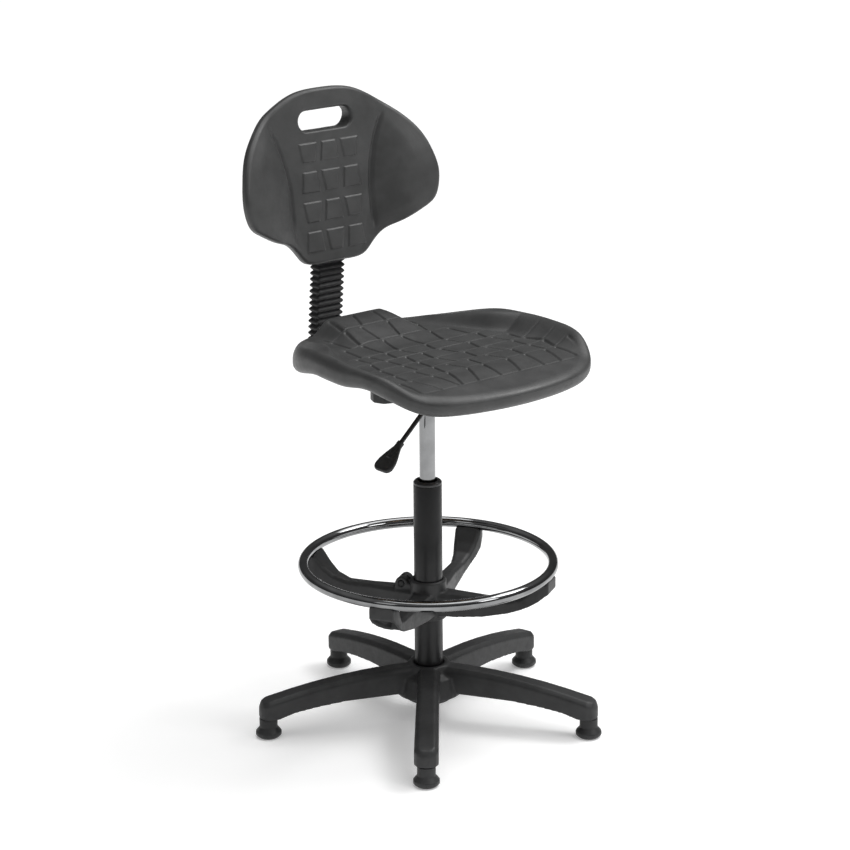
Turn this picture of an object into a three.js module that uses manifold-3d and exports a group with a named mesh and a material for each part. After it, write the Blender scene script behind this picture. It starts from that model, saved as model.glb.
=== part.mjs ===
// Industrial drafting chair: moulded seat and back on a gas lift, five-arm base with glides and a
// height-adjustable footring. Millimetres. +Z is up, -Y is the way the sitter faces and +X is the
// sitter's left. Everything is drawn round the column's axis; the last lines move the whole chair so
// that the origin is the middle of its footprint, on the floor.
import * as THREE from "three";
import { mergeVertices } from "three/addons/utils/BufferGeometryUtils.js";
import Module from "manifold-3d";

const wasm = await Module();
wasm.setup();

// ---------------------------------------------------------------- clearances
const GAP = 0.3; // between faces that touch
const RUNNING = 0.3; // round a piece that slides or turns

// ---------------------------------------------------------------- base and glides
const ARM_COUNT = 5;
const FIRST_ARM_DEG = 12.9; // turn of one arm from +X
const GLIDE_CIRCLE = 294.4; // radius of the circle through the glides
const ARM_TOP = 104; // top of an arm at the hub
const ARM_TOP_FALL = 34; // fall of the top, from the hub to the glide
const ARM_SPRING = 55; // underside of an arm beside the hub
const ARM_UNDER_FALL = 17; // fall of the underside to the glide
const ARM_HALF_ROOT = 18.5;
const ARM_HALF_TIP = 21;
const ARM_OVERHANG = 16; // arm past the glide's axis
const ARM_WALL = 4;
const ARM_CHAMFER = 7;
const RIB = 3; // thickness of the stiffening ribs
const HUB_RADIUS = 37;
const HUB_TOP = 105;
const HUB_BOTTOM = 37;
const GLIDE_TOP = 36; // underside of the arm at the glide
const GLIDE_NECK = 16;
const GLIDE_FLARE = 22.8;
const STEM_RADIUS = 5.5;
const STEM_BOTTOM = 8;
const STEM_LENGTH = 46;

// ---------------------------------------------------------------- column and gas lift
const TUBE_RADIUS = 25;
const TUBE_WALL = 2;
const TUBE_TOP = 435;
const TUBE_FOOT = 40; // lowest point of the tube's taper
const TUBE_TAPER_TOP = 99; // where the taper meets the full tube
const TAPER_SMALL = 19;
const TAPER_LARGE = 20.4;
const TUBE_FLOOR = 52; // plate that carries the piston rod
const TUBE_FLOOR_THICK = 4;
const SLEEVE_LENGTH = 110;
const SLEEVE_RIM = 7.6; // rim that stands on the tube
const LIFT_RADIUS = 14;
const LIFT_WALL = 2;
const LIFT_BOTTOM = 196;
const LIFT_END_WALL = 16;
const LIFT_CHAMBER_TOP = 560;
const CONE_BOTTOM = 586; // where the taper of the lift enters its socket
const CONE_LENGTH = 38;
const CONE_DROP = 1; // the cone's change of radius
const ROD_RADIUS = 5;
const ROD_BOTTOM = 44;
const ROD_TOP = 435;
const PISTON_LENGTH = 12;
const BEARING_HEIGHT = 6;
const BUFFER_HEIGHT = 18;
const VALVE_RADIUS = 4;
const VALVE_LENGTH = 15;
const VALVE_STANDOUT = 7.5;

// ---------------------------------------------------------------- footring
const RING_RADIUS = 219; // to the middle of the tube
const RING_TUBE = 9.5;
const RING_WALL = 1.5;
const RING_HEIGHT = 291;
const RING_SIDES = 48;
const SPIDER_ARMS = 4;
const SPIDER_FIRST_DEG = 29.5;
const COLLAR_RADIUS = 32;
const COLLAR_TOP = 262;
const COLLAR_BOTTOM = 190;
const SPIDER_FLAT_TOP = 241;
const SPIDER_ROOT = 200; // underside of an arm at the collar
const SPIDER_LIFT = 65; // rise of the underside to the end of the arm
const SPIDER_WALL = 4;
const SPIDER_REACH = 228;
const SPIDER_SEAT = 10; // extra thickness of the roof under the ring
const CLAMP_SLIT = 3;
const CLAMP_DEG = 119.5; // where the collar is split
const CLAMP_BOLT = 3;
const CLAMP_BOLT_HEIGHT = 251;
const CLAMP_BOLT_RADIUS = 45;

// ---------------------------------------------------------------- mechanism under the seat
const HOUSING_HALF = 44;
const HOUSING_FRONT = -62;
const HOUSING_REAR = 92;
const HOUSING_TOP = 644.6;
const STEEL = 3;
const SOCKET_RADIUS = 20;
const PLATE_HALF_X = 90;
const PLATE_HALF_Y = 105;
const PLATE_Y = 12; // the plate's middle
const SCREW_X = 74;
const SCREW_Y = 88;
const TILT_Y = 74;
const TILT_Z = 618;
const TILT_PIN = 5;
const LEVER_X = -30.5;
const LEVER_Y = -45;
const LEVER_Z = 599;
const LEVER_ROD = 4;
const LEVER_SLOPE_DEG = 42;
const LEVER_ROD_LENGTH = 104;
const PADDLE_AT = 92; // along the rod from the pivot
const PADDLE_LENGTH = 57;
const PADDLE_HALF = 22;
const PADDLE_THICK = 8;

// ---------------------------------------------------------------- back strut and its guide
const STRUT_HALF = 22.5;
const STRUT_THICK = 8;
const STRUT_Z = 596; // middle of its level leg
const STRUT_FRONT = 78;
const STRUT_BEND = 28;
const STRUT_REAR = 285; // middle of the upright where it leaves the bend
const STRUT_KINK_Z = 785; // where the upright turns from leaning forwards to leaning back
const STRUT_KINK_Y = 271;
const STRUT_RISE = 112; // upright above the kink
const BACK_LEAN_DEG = 5.94;
const GUIDE_WALL = 4.5;
const GUIDE_REAR = 158;
const KNOB_Y = 114;
const KNOB_RADIUS = 26;
const KNOB_THICK = 20;
const STUD_RADIUS = 4;

// ---------------------------------------------------------------- bellows
const PLEATS = 15;
const PLEAT_DEPTH = 3.4;
const BELLOWS_SKIN = 1.4;
const BELLOWS_ROOM_X = 2.7; // between the strut's edges and the bellows
const BELLOWS_ROOM_Y = 5.7;
const PLEAT_HALF_X = STRUT_HALF + BELLOWS_ROOM_X + BELLOWS_SKIN + PLEAT_DEPTH;
const PLEAT_HALF_Y = STRUT_THICK / 2 + BELLOWS_ROOM_Y + BELLOWS_SKIN + PLEAT_DEPTH;
const BELLOWS_BOTTOM = 627;
const BELLOWS_TOP = 792;

// ---------------------------------------------------------------- seat
const SEAT_FRONT = 262;
const SEAT_REAR = 212;
const SEAT_HALF = 236;
const SEAT_LOBE_HALF = 172;
const SEAT_UNDER = 648;
const SEAT_DISH = 678; // top in the middle
const BOLSTER_RISE = 30;
const TONGUE_RISE = 22;
const TONGUE_HALF = 75;
const SEAT_LIP = 21; // from the rim's widest line down to its lowest
const INSERT_HALF_X = 120;
const INSERT_HALF_Y = 125;
const INSERT_THICK = 12;

// ---------------------------------------------------------------- back pad, drawn on its lean
const BACK_HALF = 215;
const BACK_TOP = 308; // from the kink of the strut, along the lean
const BACK_BOTTOM = 2;
const TONGUE_FOOT = 58;
const BACK_FACE = -28; // face of the pad from the strut's middle
const BACK_THICK = 34;
const BACK_RIM_THICK = 20;
const WING_RISE = 46; // how far the wings come forwards
const CREASE = 88;
const SLOT_HEIGHT = 253;
const SLOT_HALF = 58;
const SLOT_RADIUS = 18;
const POCKET_FLOOR = -16; // bottom of the recess for the bracket
const POCKET_HALF = 48;
const POCKET_TOP = 128;
const BRACKET_LOW = 22;
const BRACKET_HIGH = 102;
const BRACKET_HALF = 30;
const FLANGE_HALF = 44;
const FLANGE = 4;
const BRACKET_REAR = 13;
const BRACKET_SCREW_X = 37;

// ---------------------------------------------------------------- materials
const finish = (color, roughness, metalness) =>
  new THREE.MeshStandardMaterial({ color, roughness, metalness });
const nylon = () => finish(0x2b2c2e, 0.55, 0);
const foamSkin = () => finish(0x303234, 0.6, 0);
const rubber = () => finish(0x1c1d1e, 0.75, 0);
const blackSteel = () => finish(0x1b1c1d, 0.45, 0.4);
const chrome = () => finish(0xd9dcdf, 0.08, 1);
const zincSteel = () => finish(0x9c9fa2, 0.35, 1);
const plywood = () => finish(0xb08a5a, 0.7, 0);
const acetal = () => finish(0x141516, 0.5, 0);

// ---------------------------------------------------------------- solids
// A closed geometry as a solid that can be joined and cut.
function toSolid(geometry) {
  const plain = geometry.clone();
  plain.deleteAttribute("normal");
  plain.deleteAttribute("uv");
  const merged = mergeVertices(plain, 1e-4);
  const triVerts = new Uint32Array(merged.index.array);
  const vertProperties = merged.attributes.position.array;
  return new wasm.Manifold(new wasm.Mesh({ numProp: 3, vertProperties, triVerts }));
}

function toGeometry(solid) {
  const mesh = solid.getMesh();
  const geometry = new THREE.BufferGeometry();
  geometry.setAttribute("position", new THREE.BufferAttribute(mesh.vertProperties, 3));
  geometry.setIndex(new THREE.BufferAttribute(mesh.triVerts, 1));
  return geometry;
}

const joined = (first, ...rest) =>
  toGeometry(rest.reduce((sum, g) => sum.add(toSolid(g)), toSolid(first)));
const cut = (first, ...tools) =>
  toGeometry(tools.reduce((left, g) => left.subtract(toSolid(g)), toSolid(first)));
const common = (a, b) => toGeometry(toSolid(a).intersect(toSolid(b)));

// Six times the signed volume of an indexed closed mesh.
function signedVolume(positions, index) {
  const [a, b, c] = [0, 1, 2].map(() => new THREE.Vector3());
  let sum = 0;
  for (let i = 0; i < index.length; i += 3) {
    a.fromArray(positions, 3 * index[i]);
    b.fromArray(positions, 3 * index[i + 1]);
    c.fromArray(positions, 3 * index[i + 2]);
    sum += a.dot(b.cross(c));
  }
  return sum;
}

// A closed mesh whose faces point out, whichever way its outlines were drawn.
function facingOut(positions, index) {
  const turned = signedVolume(positions, index) < 0 ? index.slice().reverse() : index;
  const geometry = new THREE.BufferGeometry();
  geometry.setAttribute("position", new THREE.Float32BufferAttribute(positions, 3));
  geometry.setIndex(turned);
  return geometry;
}

// A skin through rings of equally many points, closed by a fan at each end.
function loft(rings) {
  const count = rings[0].length;
  const middle = (ring) =>
    ring.reduce((sum, p) => sum.add(p), new THREE.Vector3()).divideScalar(count);
  const points = [...rings.flat(), middle(rings[0]), middle(rings.at(-1))];
  const index = [];
  for (let i = 0; i < count; i++) {
    const j = (i + 1) % count;
    for (let k = 0; k + 1 < rings.length; k++) {
      const [a, b] = [k * count + i, k * count + j];
      index.push(a, b, b + count, a, b + count, a + count);
    }
    const last = (rings.length - 1) * count;
    index.push(rings.length * count, j, i);
    index.push(rings.length * count + 1, last + i, last + j);
  }
  return facingOut(points.flatMap((p) => p.toArray()), index);
}

// Rings joined end to end into a hoop, as for a tube with a wall.
function hoop(rings) {
  const count = rings[0].length;
  const index = [];
  rings.forEach((ring, k) => {
    const next = (k + 1) % rings.length;
    for (let i = 0; i < count; i++) {
      const j = (i + 1) % count;
      index.push(k * count + i, k * count + j, next * count + j);
      index.push(k * count + i, next * count + j, next * count + i);
    }
  });
  return facingOut(rings.flat().flatMap((p) => p.toArray()), index);
}

// A piece turned round Z from [radius, height] corners.
function turned(profile, segments = 32) {
  const corners = profile.map(([r, z]) => new THREE.Vector2(r, z));
  const onAxis = profile[0][0] === 0 && profile.at(-1)[0] === 0;
  const closed = onAxis ? corners : [...corners, corners[0].clone()];
  const geometry = new THREE.LatheGeometry(closed, segments).rotateX(Math.PI / 2);
  geometry.deleteAttribute("normal");
  geometry.deleteAttribute("uv");
  const merged = mergeVertices(geometry, 1e-4);
  const index = [];
  const faces = Array.from(merged.index.array);
  for (let i = 0; i < faces.length; i += 3) {
    const [a, b, c] = faces.slice(i, i + 3);
    if (a !== b && b !== c && c !== a) index.push(a, b, c);
  }
  return facingOut(Array.from(merged.attributes.position.array), index);
}

const rod = (radius, low, high, segments = 16) =>
  turned([[0, low], [radius, low], [radius, high], [0, high]], segments);

// A box from its lowest corner to its highest.
function block(low, high) {
  const size = high.map((h, i) => h - low[i]);
  const middle = high.map((h, i) => (h + low[i]) / 2);
  return new THREE.BoxGeometry(...size).translate(...middle);
}

const mix = (a, b, t) => a + (b - a) * t;
const radians = THREE.MathUtils.degToRad;

// Eases from 0 at a to 1 at b.
const ease = (a, b, x) => THREE.MathUtils.smoothstep((x - a) / (b - a), 0, 1);

// ---------------------------------------------------------------- the scene
const chair = new THREE.Group();

function add(name, geometry, material, place = {}) {
  const mesh = new THREE.Mesh(geometry, material);
  mesh.name = name;
  if (place.at) mesh.position.set(...place.at);
  if (place.turn) mesh.rotation.set(...place.turn);
  (place.in ?? chair).add(mesh);
  return mesh;
}

// ---------------------------------------------------------------- base
const armTop = (r) => ARM_TOP - ARM_TOP_FALL * Math.pow(r / GLIDE_CIRCLE, 2.2);
const armUnder = (r) => ARM_SPRING - ARM_UNDER_FALL * Math.pow(Math.max(0, r - 150) / 140, 1.6);
const armHalf = (r) => mix(ARM_HALF_ROOT, ARM_HALF_TIP, r / GLIDE_CIRCLE);

// A cross-section of an arm that runs along X: flat underside, chamfered top.
function armSection(x, half, under, top, chamfer = ARM_CHAMFER) {
  const corner = Math.min(chamfer, half * 0.6, (top - under) * 0.6);
  const outline = [
    [-half, under],
    [half, under],
    [half, top - corner],
    [half - corner, top],
    [corner - half, top],
    [-half, top - corner],
  ];
  return outline.map(([y, z]) => new THREE.Vector3(x, y, z));
}

function starArmOuter() {
  const stations = [12, 70, 120, 165, 210, 250];
  const rings = stations.map((r) => armSection(r, armHalf(r), armUnder(r), armTop(r)));
  const boss = GLIDE_CIRCLE - 14;
  rings.push(armSection(boss, armHalf(boss), GLIDE_TOP, armTop(boss)));
  // The end is round in plan and its top edge rolls over.
  for (const turn of [5, 38, 62, 80]) {
    const reach = ARM_OVERHANG * Math.sin(radians(turn));
    const half = ARM_HALF_TIP * Math.cos(radians(turn));
    const drop = 14 * Math.pow(reach / ARM_OVERHANG, 3);
    rings.push(armSection(GLIDE_CIRCLE + reach, half, GLIDE_TOP, armTop(GLIDE_CIRCLE) - drop));
  }
  return loft(rings);
}

// The room under an arm, between the hub and the boss of the glide: the arm less its walls.
function starArmRoom(wall, lift) {
  const rings = [HUB_RADIUS + 7, 120, 190, 240, GLIDE_CIRCLE - 22].map((r) =>
    armSection(r, armHalf(r) - wall, armUnder(r) + lift, armTop(r) - wall),
  );
  return loft(rings);
}

// Ribs that fill the room: one along the arm and two across it, rooted in the walls.
function starArmRibs() {
  const across = [110, 190].map((r) => block([r, -ARM_HALF_TIP, 0], [r + RIB, ARM_HALF_TIP, ARM_TOP]));
  const along = block([HUB_RADIUS, -RIB / 2, 0], [GLIDE_CIRCLE - 18, RIB / 2, ARM_TOP]);
  return common(starArmRoom(ARM_WALL - 1, 1), joined(along, ...across));
}

function starBase() {
  const arm = joined(cut(starArmOuter(), starArmRoom(ARM_WALL, -12)), starArmRibs());
  const gusset = turned(
    [
      [HUB_RADIUS - 4, HUB_BOTTOM + 4],
      [60, HUB_BOTTOM + 13],
      [52, 84],
      [HUB_RADIUS - 4, 94],
    ],
    30,
  );
  const hub = turned(
    [
      [TAPER_SMALL - 1, HUB_BOTTOM],
      [HUB_RADIUS + 4, HUB_BOTTOM],
      [HUB_RADIUS, HUB_TOP],
      [TAPER_SMALL - 1, HUB_TOP],
    ],
    30,
  );
  const arms = Array.from({ length: ARM_COUNT }, (_, k) =>
    arm.clone().rotateZ(radians(FIRST_ARM_DEG + (k * 360) / ARM_COUNT)),
  );
  const bore = turned(
    [
      [0, HUB_BOTTOM - 10],
      [TAPER_SMALL + GAP, HUB_BOTTOM - 10],
      [TAPER_SMALL + GAP, TUBE_FOOT],
      [TAPER_LARGE + GAP, TUBE_TAPER_TOP - GAP],
      [TUBE_RADIUS + 2, TUBE_TAPER_TOP - GAP],
      [TUBE_RADIUS + 2, HUB_TOP + 10],
      [0, HUB_TOP + 10],
    ],
    28,
  );
  const stemHole = rod(STEM_RADIUS + GAP, GLIDE_TOP - 5, STEM_BOTTOM + STEM_LENGTH + GAP, 10);
  const stemHoles = Array.from({ length: ARM_COUNT }, (_, k) =>
    stemHole.clone().translate(GLIDE_CIRCLE, 0, 0).rotateZ(radians(FIRST_ARM_DEG + (k * 360) / ARM_COUNT)),
  );
  return cut(joined(hub, gusset, ...arms), bore, ...stemHoles);
}

function glide() {
  return turned(
    [
      [0, 0],
      [17, 0],
      [GLIDE_FLARE, 5],
      [GLIDE_FLARE, 11],
      [GLIDE_NECK, 19],
      [GLIDE_NECK, GLIDE_TOP - GAP],
      [STEM_RADIUS + GAP, GLIDE_TOP - GAP],
      [STEM_RADIUS + GAP, STEM_BOTTOM - GAP],
      [0, STEM_BOTTOM - GAP],
    ],
    18,
  );
}

add("star_base", starBase(), nylon());
for (let k = 0; k < ARM_COUNT; k++) {
  const turn = radians(FIRST_ARM_DEG + (k * 360) / ARM_COUNT);
  const at = [GLIDE_CIRCLE * Math.cos(turn), GLIDE_CIRCLE * Math.sin(turn), 0];
  add(`glide_${k + 1}`, glide(), nylon(), { at });
  const stem = rod(STEM_RADIUS, STEM_BOTTOM, STEM_BOTTOM + STEM_LENGTH, 10);
  add(`glide_stem_${k + 1}`, stem, zincSteel(), { at });
}

// ---------------------------------------------------------------- column
const TUBE_INNER = TUBE_RADIUS - TUBE_WALL;
const SLEEVE_INNER = LIFT_RADIUS + RUNNING;

function columnTube() {
  return turned(
    [
      [ROD_RADIUS + 0.6, TUBE_FLOOR],
      [TAPER_SMALL - TUBE_WALL, TUBE_FLOOR],
      [TAPER_SMALL - TUBE_WALL, TUBE_FOOT],
      [TAPER_SMALL, TUBE_FOOT],
      [TAPER_LARGE, TUBE_TAPER_TOP],
      [TUBE_RADIUS, TUBE_TAPER_TOP + 4],
      [TUBE_RADIUS, TUBE_TOP],
      [TUBE_INNER, TUBE_TOP],
      [TUBE_INNER, TUBE_TAPER_TOP + 6],
      [TAPER_SMALL - TUBE_WALL, TUBE_TAPER_TOP],
      [TAPER_SMALL - TUBE_WALL, TUBE_FLOOR + TUBE_FLOOR_THICK],
      [ROD_RADIUS + 0.6, TUBE_FLOOR + TUBE_FLOOR_THICK],
    ],
    28,
  );
}

function guideSleeve() {
  const rim = TUBE_TOP + GAP;
  return turned(
    [
      [SLEEVE_INNER, TUBE_TOP - SLEEVE_LENGTH],
      [TUBE_INNER - GAP, TUBE_TOP - SLEEVE_LENGTH],
      [TUBE_INNER - GAP, rim],
      [TUBE_RADIUS, rim],
      [TUBE_RADIUS, rim + SLEEVE_RIM - 3],
      [TUBE_RADIUS - 3, rim + SLEEVE_RIM],
      [SLEEVE_INNER + 3, rim + SLEEVE_RIM],
    ],
    28,
  );
}

// The piston rod stands on the bearing by its shoulder and carries the piston inside the lift.
const SHOULDER = TUBE_FLOOR + TUBE_FLOOR_THICK + BEARING_HEIGHT + 2 * GAP;

function pistonRod() {
  return turned(
    [
      [0, ROD_BOTTOM],
      [ROD_RADIUS, ROD_BOTTOM],
      [ROD_RADIUS, SHOULDER],
      [ROD_RADIUS + 4, SHOULDER],
      [ROD_RADIUS + 4, SHOULDER + 3],
      [ROD_RADIUS, SHOULDER + 3],
      [ROD_RADIUS, ROD_TOP - PISTON_LENGTH],
      [LIFT_RADIUS - LIFT_WALL - RUNNING, ROD_TOP - PISTON_LENGTH],
      [LIFT_RADIUS - LIFT_WALL - RUNNING, ROD_TOP],
      [0, ROD_TOP],
    ],
    16,
  );
}

function gasCylinder() {
  const top = CONE_BOTTOM + CONE_LENGTH;
  const valveFloor = top + VALVE_STANDOUT - VALVE_LENGTH - 6;
  return turned(
    [
      [0, valveFloor],
      [VALVE_RADIUS + RUNNING, valveFloor],
      [VALVE_RADIUS + RUNNING, top],
      [LIFT_RADIUS - CONE_DROP, top],
      [LIFT_RADIUS, CONE_BOTTOM],
      [LIFT_RADIUS, LIFT_BOTTOM],
      [ROD_RADIUS + RUNNING, LIFT_BOTTOM],
      [ROD_RADIUS + RUNNING, LIFT_BOTTOM + LIFT_END_WALL],
      [LIFT_RADIUS - LIFT_WALL, LIFT_BOTTOM + LIFT_END_WALL],
      [LIFT_RADIUS - LIFT_WALL, LIFT_CHAMBER_TOP],
      [0, LIFT_CHAMBER_TOP],
    ],
    28,
  );
}

const washer = (inner, outer, low, high, segments = 18) =>
  turned([[inner, low], [outer, low], [outer, high], [inner, high]], segments);

function addColumn() {
  const floorTop = TUBE_FLOOR + TUBE_FLOOR_THICK;
  add("column_tube", columnTube(), blackSteel());
  add("guide_sleeve", guideSleeve(), acetal());
  add(
    "thrust_bearing",
    washer(ROD_RADIUS + 0.4, 13, floorTop + GAP, floorTop + GAP + BEARING_HEIGHT),
    zincSteel(),
  );
  add("piston_rod", pistonRod(), zincSteel());
  add("rod_clip", washer(ROD_RADIUS + GAP, 9, TUBE_FLOOR - GAP - 2.5, TUBE_FLOOR - GAP), zincSteel());
  const bufferLow = SHOULDER + 3 + GAP;
  add("bump_buffer", washer(ROD_RADIUS + GAP, 12, bufferLow, bufferLow + BUFFER_HEIGHT), rubber());
  add("gas_cylinder", gasCylinder(), chrome());
  const valveTop = CONE_BOTTOM + CONE_LENGTH + VALVE_STANDOUT;
  add("valve_pin", rod(VALVE_RADIUS, valveTop - VALVE_LENGTH, valveTop), zincSteel());
}
addColumn();

// ---------------------------------------------------------------- footring
// The spider's arms run level from the collar and then rise to the ring: heights against reach.
const spiderRise = (r) => 46 * Math.pow(Math.max(0, (r - 150) / 59), 1.9);
const spiderTop = (r) => Math.min(SPIDER_FLAT_TOP + spiderRise(r), RING_HEIGHT - 3);
const spiderUnder = (r) => SPIDER_ROOT + SPIDER_LIFT * Math.pow(r / SPIDER_REACH, 3.2);

// Half the arm's width: wide at the collar and under the ring, narrow between them.
const spiderHalf = (r) => 13 + 9 * (1 - ease(30, 95, r)) + 12 * ease(150, 215, r);

function spiderArmRoom(wall, lift) {
  const reaches = [COLLAR_RADIUS + 4, 105, 150, 175, 192, SPIDER_REACH - wall];
  const roof = (r) => spiderTop(r) - wall - SPIDER_SEAT * ease(150, 200, r);
  return loft(reaches.map((r) => armSection(r, spiderHalf(r) - wall, spiderUnder(r) + lift, roof(r), 3)));
}

function spiderArm() {
  const stations = [20, 60, 105, 150, 175, 192, 209, SPIDER_REACH];
  const taper = (r) => (r === SPIDER_REACH ? 3 : 0);
  const outer = loft(
    stations.map((r) => armSection(r, spiderHalf(r) - taper(r), spiderUnder(r), spiderTop(r), 5)),
  );
  const ribs = [80, 150].map((r) => block([r, -30, 0], [r + RIB, 30, RING_HEIGHT]));
  const rooted = common(spiderArmRoom(SPIDER_WALL - 1, 1), joined(...ribs));
  return joined(cut(outer, spiderArmRoom(SPIDER_WALL, -15)), rooted);
}

const clampFrame = (geometry) => geometry.rotateZ(radians(CLAMP_DEG));

const RING_SCREW_SEAT = spiderTop(RING_RADIUS) - SPIDER_WALL - SPIDER_SEAT;

function ringSpider() {
  const arm = spiderArm();
  const arms = Array.from({ length: SPIDER_ARMS }, (_, k) =>
    arm.clone().rotateZ(radians(SPIDER_FIRST_DEG + (k * 360) / SPIDER_ARMS)),
  );
  const collar = turned(
    [
      [TUBE_RADIUS - 3, COLLAR_BOTTOM],
      [COLLAR_RADIUS, COLLAR_BOTTOM],
      [COLLAR_RADIUS, COLLAR_TOP - 3],
      [COLLAR_RADIUS - 3, COLLAR_TOP],
      [TUBE_RADIUS - 3, COLLAR_TOP],
    ],
    28,
  );
  const atBolt = (geometry) => geometry.translate(CLAMP_BOLT_RADIUS, 0, CLAMP_BOLT_HEIGHT);
  const lugRound = atBolt(rod(12, -16, 16, 14).rotateX(Math.PI / 2));
  const lugWeb = block(
    [TUBE_RADIUS - 3, -16, SPIDER_FLAT_TOP - 8],
    [CLAMP_BOLT_RADIUS + 12, 16, CLAMP_BOLT_HEIGHT],
  );
  const slit = block(
    [0, -CLAMP_SLIT / 2, SPIDER_FLAT_TOP - 12],
    [CLAMP_BOLT_RADIUS + 20, CLAMP_SLIT / 2, CLAMP_BOLT_HEIGHT + 20],
  );
  const boltHole = rod(CLAMP_BOLT + GAP, -30, 30, 8).rotateX(Math.PI / 2);
  const headHole = rod(5.8, -30, -11, 12).rotateX(Math.PI / 2);
  const nutHole = rod(6, 11, 30, 6).rotateX(Math.PI / 2);
  const holes = [boltHole, headHole, nutHole].map(atBolt);
  const seat = new THREE.TorusGeometry(RING_RADIUS, RING_TUBE + GAP, 10, RING_SIDES);
  seat.translate(0, 0, RING_HEIGHT);
  const bore = rod(TUBE_RADIUS + RUNNING + 0.2, COLLAR_BOTTOM - 5, COLLAR_TOP + 30, 28);
  const screwHoles = ringScrewPlaces().flatMap(([x, y]) => [
    rod(3 + GAP, 200, RING_HEIGHT, 8).translate(x, y, 0),
    rod(6 + 2 * GAP, 200, RING_SCREW_SEAT, 10).translate(x, y, 0),
  ]);
  const body = joined(collar, ...arms, clampFrame(lugRound), clampFrame(lugWeb));
  return cut(body, bore, seat, clampFrame(slit), ...holes.map(clampFrame), ...screwHoles);
}

function ringScrewPlaces() {
  return Array.from({ length: SPIDER_ARMS }, (_, k) => {
    const turn = radians(SPIDER_FIRST_DEG + (k * 360) / SPIDER_ARMS);
    return [RING_RADIUS * Math.cos(turn), RING_RADIUS * Math.sin(turn)];
  });
}

function footring() {
  const tube = new THREE.TorusGeometry(RING_RADIUS, RING_TUBE, 10, RING_SIDES);
  const inside = new THREE.TorusGeometry(RING_RADIUS, RING_TUBE - RING_WALL, 6, RING_SIDES);
  const holes = ringScrewPlaces().map(([x, y]) => rod(3 + GAP, -RING_TUBE - 5, 0, 8).translate(x, y, 0));
  return cut(tube, inside, ...holes).translate(0, 0, RING_HEIGHT);
}

function ringScrew() {
  const headTop = RING_SCREW_SEAT - GAP;
  const tip = RING_HEIGHT - 2;
  return turned([[0, headTop - 4], [6, headTop - 4], [6, headTop], [3, headTop], [3, tip], [0, tip]], 8);
}

function addFootring() {
  add("footring", footring(), chrome());
  add("ring_spider", ringSpider(), nylon());
  ringScrewPlaces().forEach(([x, y], k) => {
    add(`ring_screw_${k + 1}`, ringScrew(), zincSteel(), { at: [x, y, 0] });
  });
  const clamp = new THREE.Group();
  clamp.rotation.z = radians(CLAMP_DEG);
  chair.add(clamp);
  const underHead = -11 - GAP;
  const bolt = turned(
    [
      [0, -16],
      [5, -16],
      [5, underHead],
      [CLAMP_BOLT, underHead],
      [CLAMP_BOLT, 17],
      [0, 17],
    ],
    16,
  );
  const nut = turned([[4, 11 + GAP], [5.5, 11 + GAP], [5.5, 16], [4, 16]], 6);
  const place = [CLAMP_BOLT_RADIUS, 0, CLAMP_BOLT_HEIGHT];
  add("clamp_bolt", bolt.rotateX(Math.PI / 2), blackSteel(), { at: place, in: clamp });
  add("clamp_nut", nut.rotateX(Math.PI / 2), zincSteel(), { at: place, in: clamp });
}
addFootring();

// ---------------------------------------------------------------- mechanism
const COVER = HOUSING_TOP - STEEL; // underside of the housing's roof

function housing() {
  const shell = cut(
    block([-HOUSING_HALF, HOUSING_FRONT, CONE_BOTTOM], [HOUSING_HALF, HOUSING_REAR, HOUSING_TOP]),
    block([STEEL - HOUSING_HALF, HOUSING_FRONT + STEEL, 0], [HOUSING_HALF - STEEL, HOUSING_REAR + 5, COVER]),
  );
  const socketTop = CONE_BOTTOM + CONE_LENGTH - 4;
  const socket = rod(SOCKET_RADIUS, CONE_BOTTOM, socketTop, 24);
  const web = block([-HOUSING_HALF + 1, -2, CONE_BOTTOM + 4], [HOUSING_HALF - 1, 2, socketTop - 3]);
  const cone = turned(
    [
      [0, CONE_BOTTOM - 1],
      [LIFT_RADIUS + GAP, CONE_BOTTOM - 1],
      [LIFT_RADIUS + GAP, CONE_BOTTOM],
      [LIFT_RADIUS + GAP - CONE_DROP, CONE_BOTTOM + CONE_LENGTH],
      [0, CONE_BOTTOM + CONE_LENGTH],
    ],
    28,
  );
  const leverSlot = block([-HOUSING_HALF - 5, LEVER_Y - 8, 0], [5 - HOUSING_HALF, LEVER_Y + 8, LEVER_Z + 12]);
  const pinHole = rod(TILT_PIN + GAP, -60, 60, 20).rotateY(Math.PI / 2).translate(0, TILT_Y, TILT_Z);
  const leverHole = rod(4 + GAP, HOUSING_FRONT - 5, HOUSING_FRONT + 10)
    .rotateX(-Math.PI / 2)
    .translate(LEVER_X, 0, LEVER_Z);
  return cut(joined(shell, socket, web), cone, leverSlot, pinHole, leverHole);
}

function screwPlaces() {
  return [-1, 1].flatMap((sx) => [-1, 1].map((sy) => [sx * SCREW_X, PLATE_Y + sy * SCREW_Y]));
}

const PLATE_LOW = HOUSING_TOP + GAP;

function mountPlate() {
  const plate = block(
    [-PLATE_HALF_X, PLATE_Y - PLATE_HALF_Y, PLATE_LOW],
    [PLATE_HALF_X, PLATE_Y + PLATE_HALF_Y, SEAT_UNDER - GAP],
  );
  return cut(plate, ...screwPlaces().map(([x, y]) => rod(4 + GAP, 0, 900, 8).translate(x, y, 0)));
}

function seatScrew() {
  const head = PLATE_LOW - GAP;
  const tip = SEAT_UNDER + INSERT_THICK - 1;
  return turned([[0, head - 5], [7, head - 5], [7, head], [4, head], [4, tip], [0, tip]], 8);
}

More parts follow.
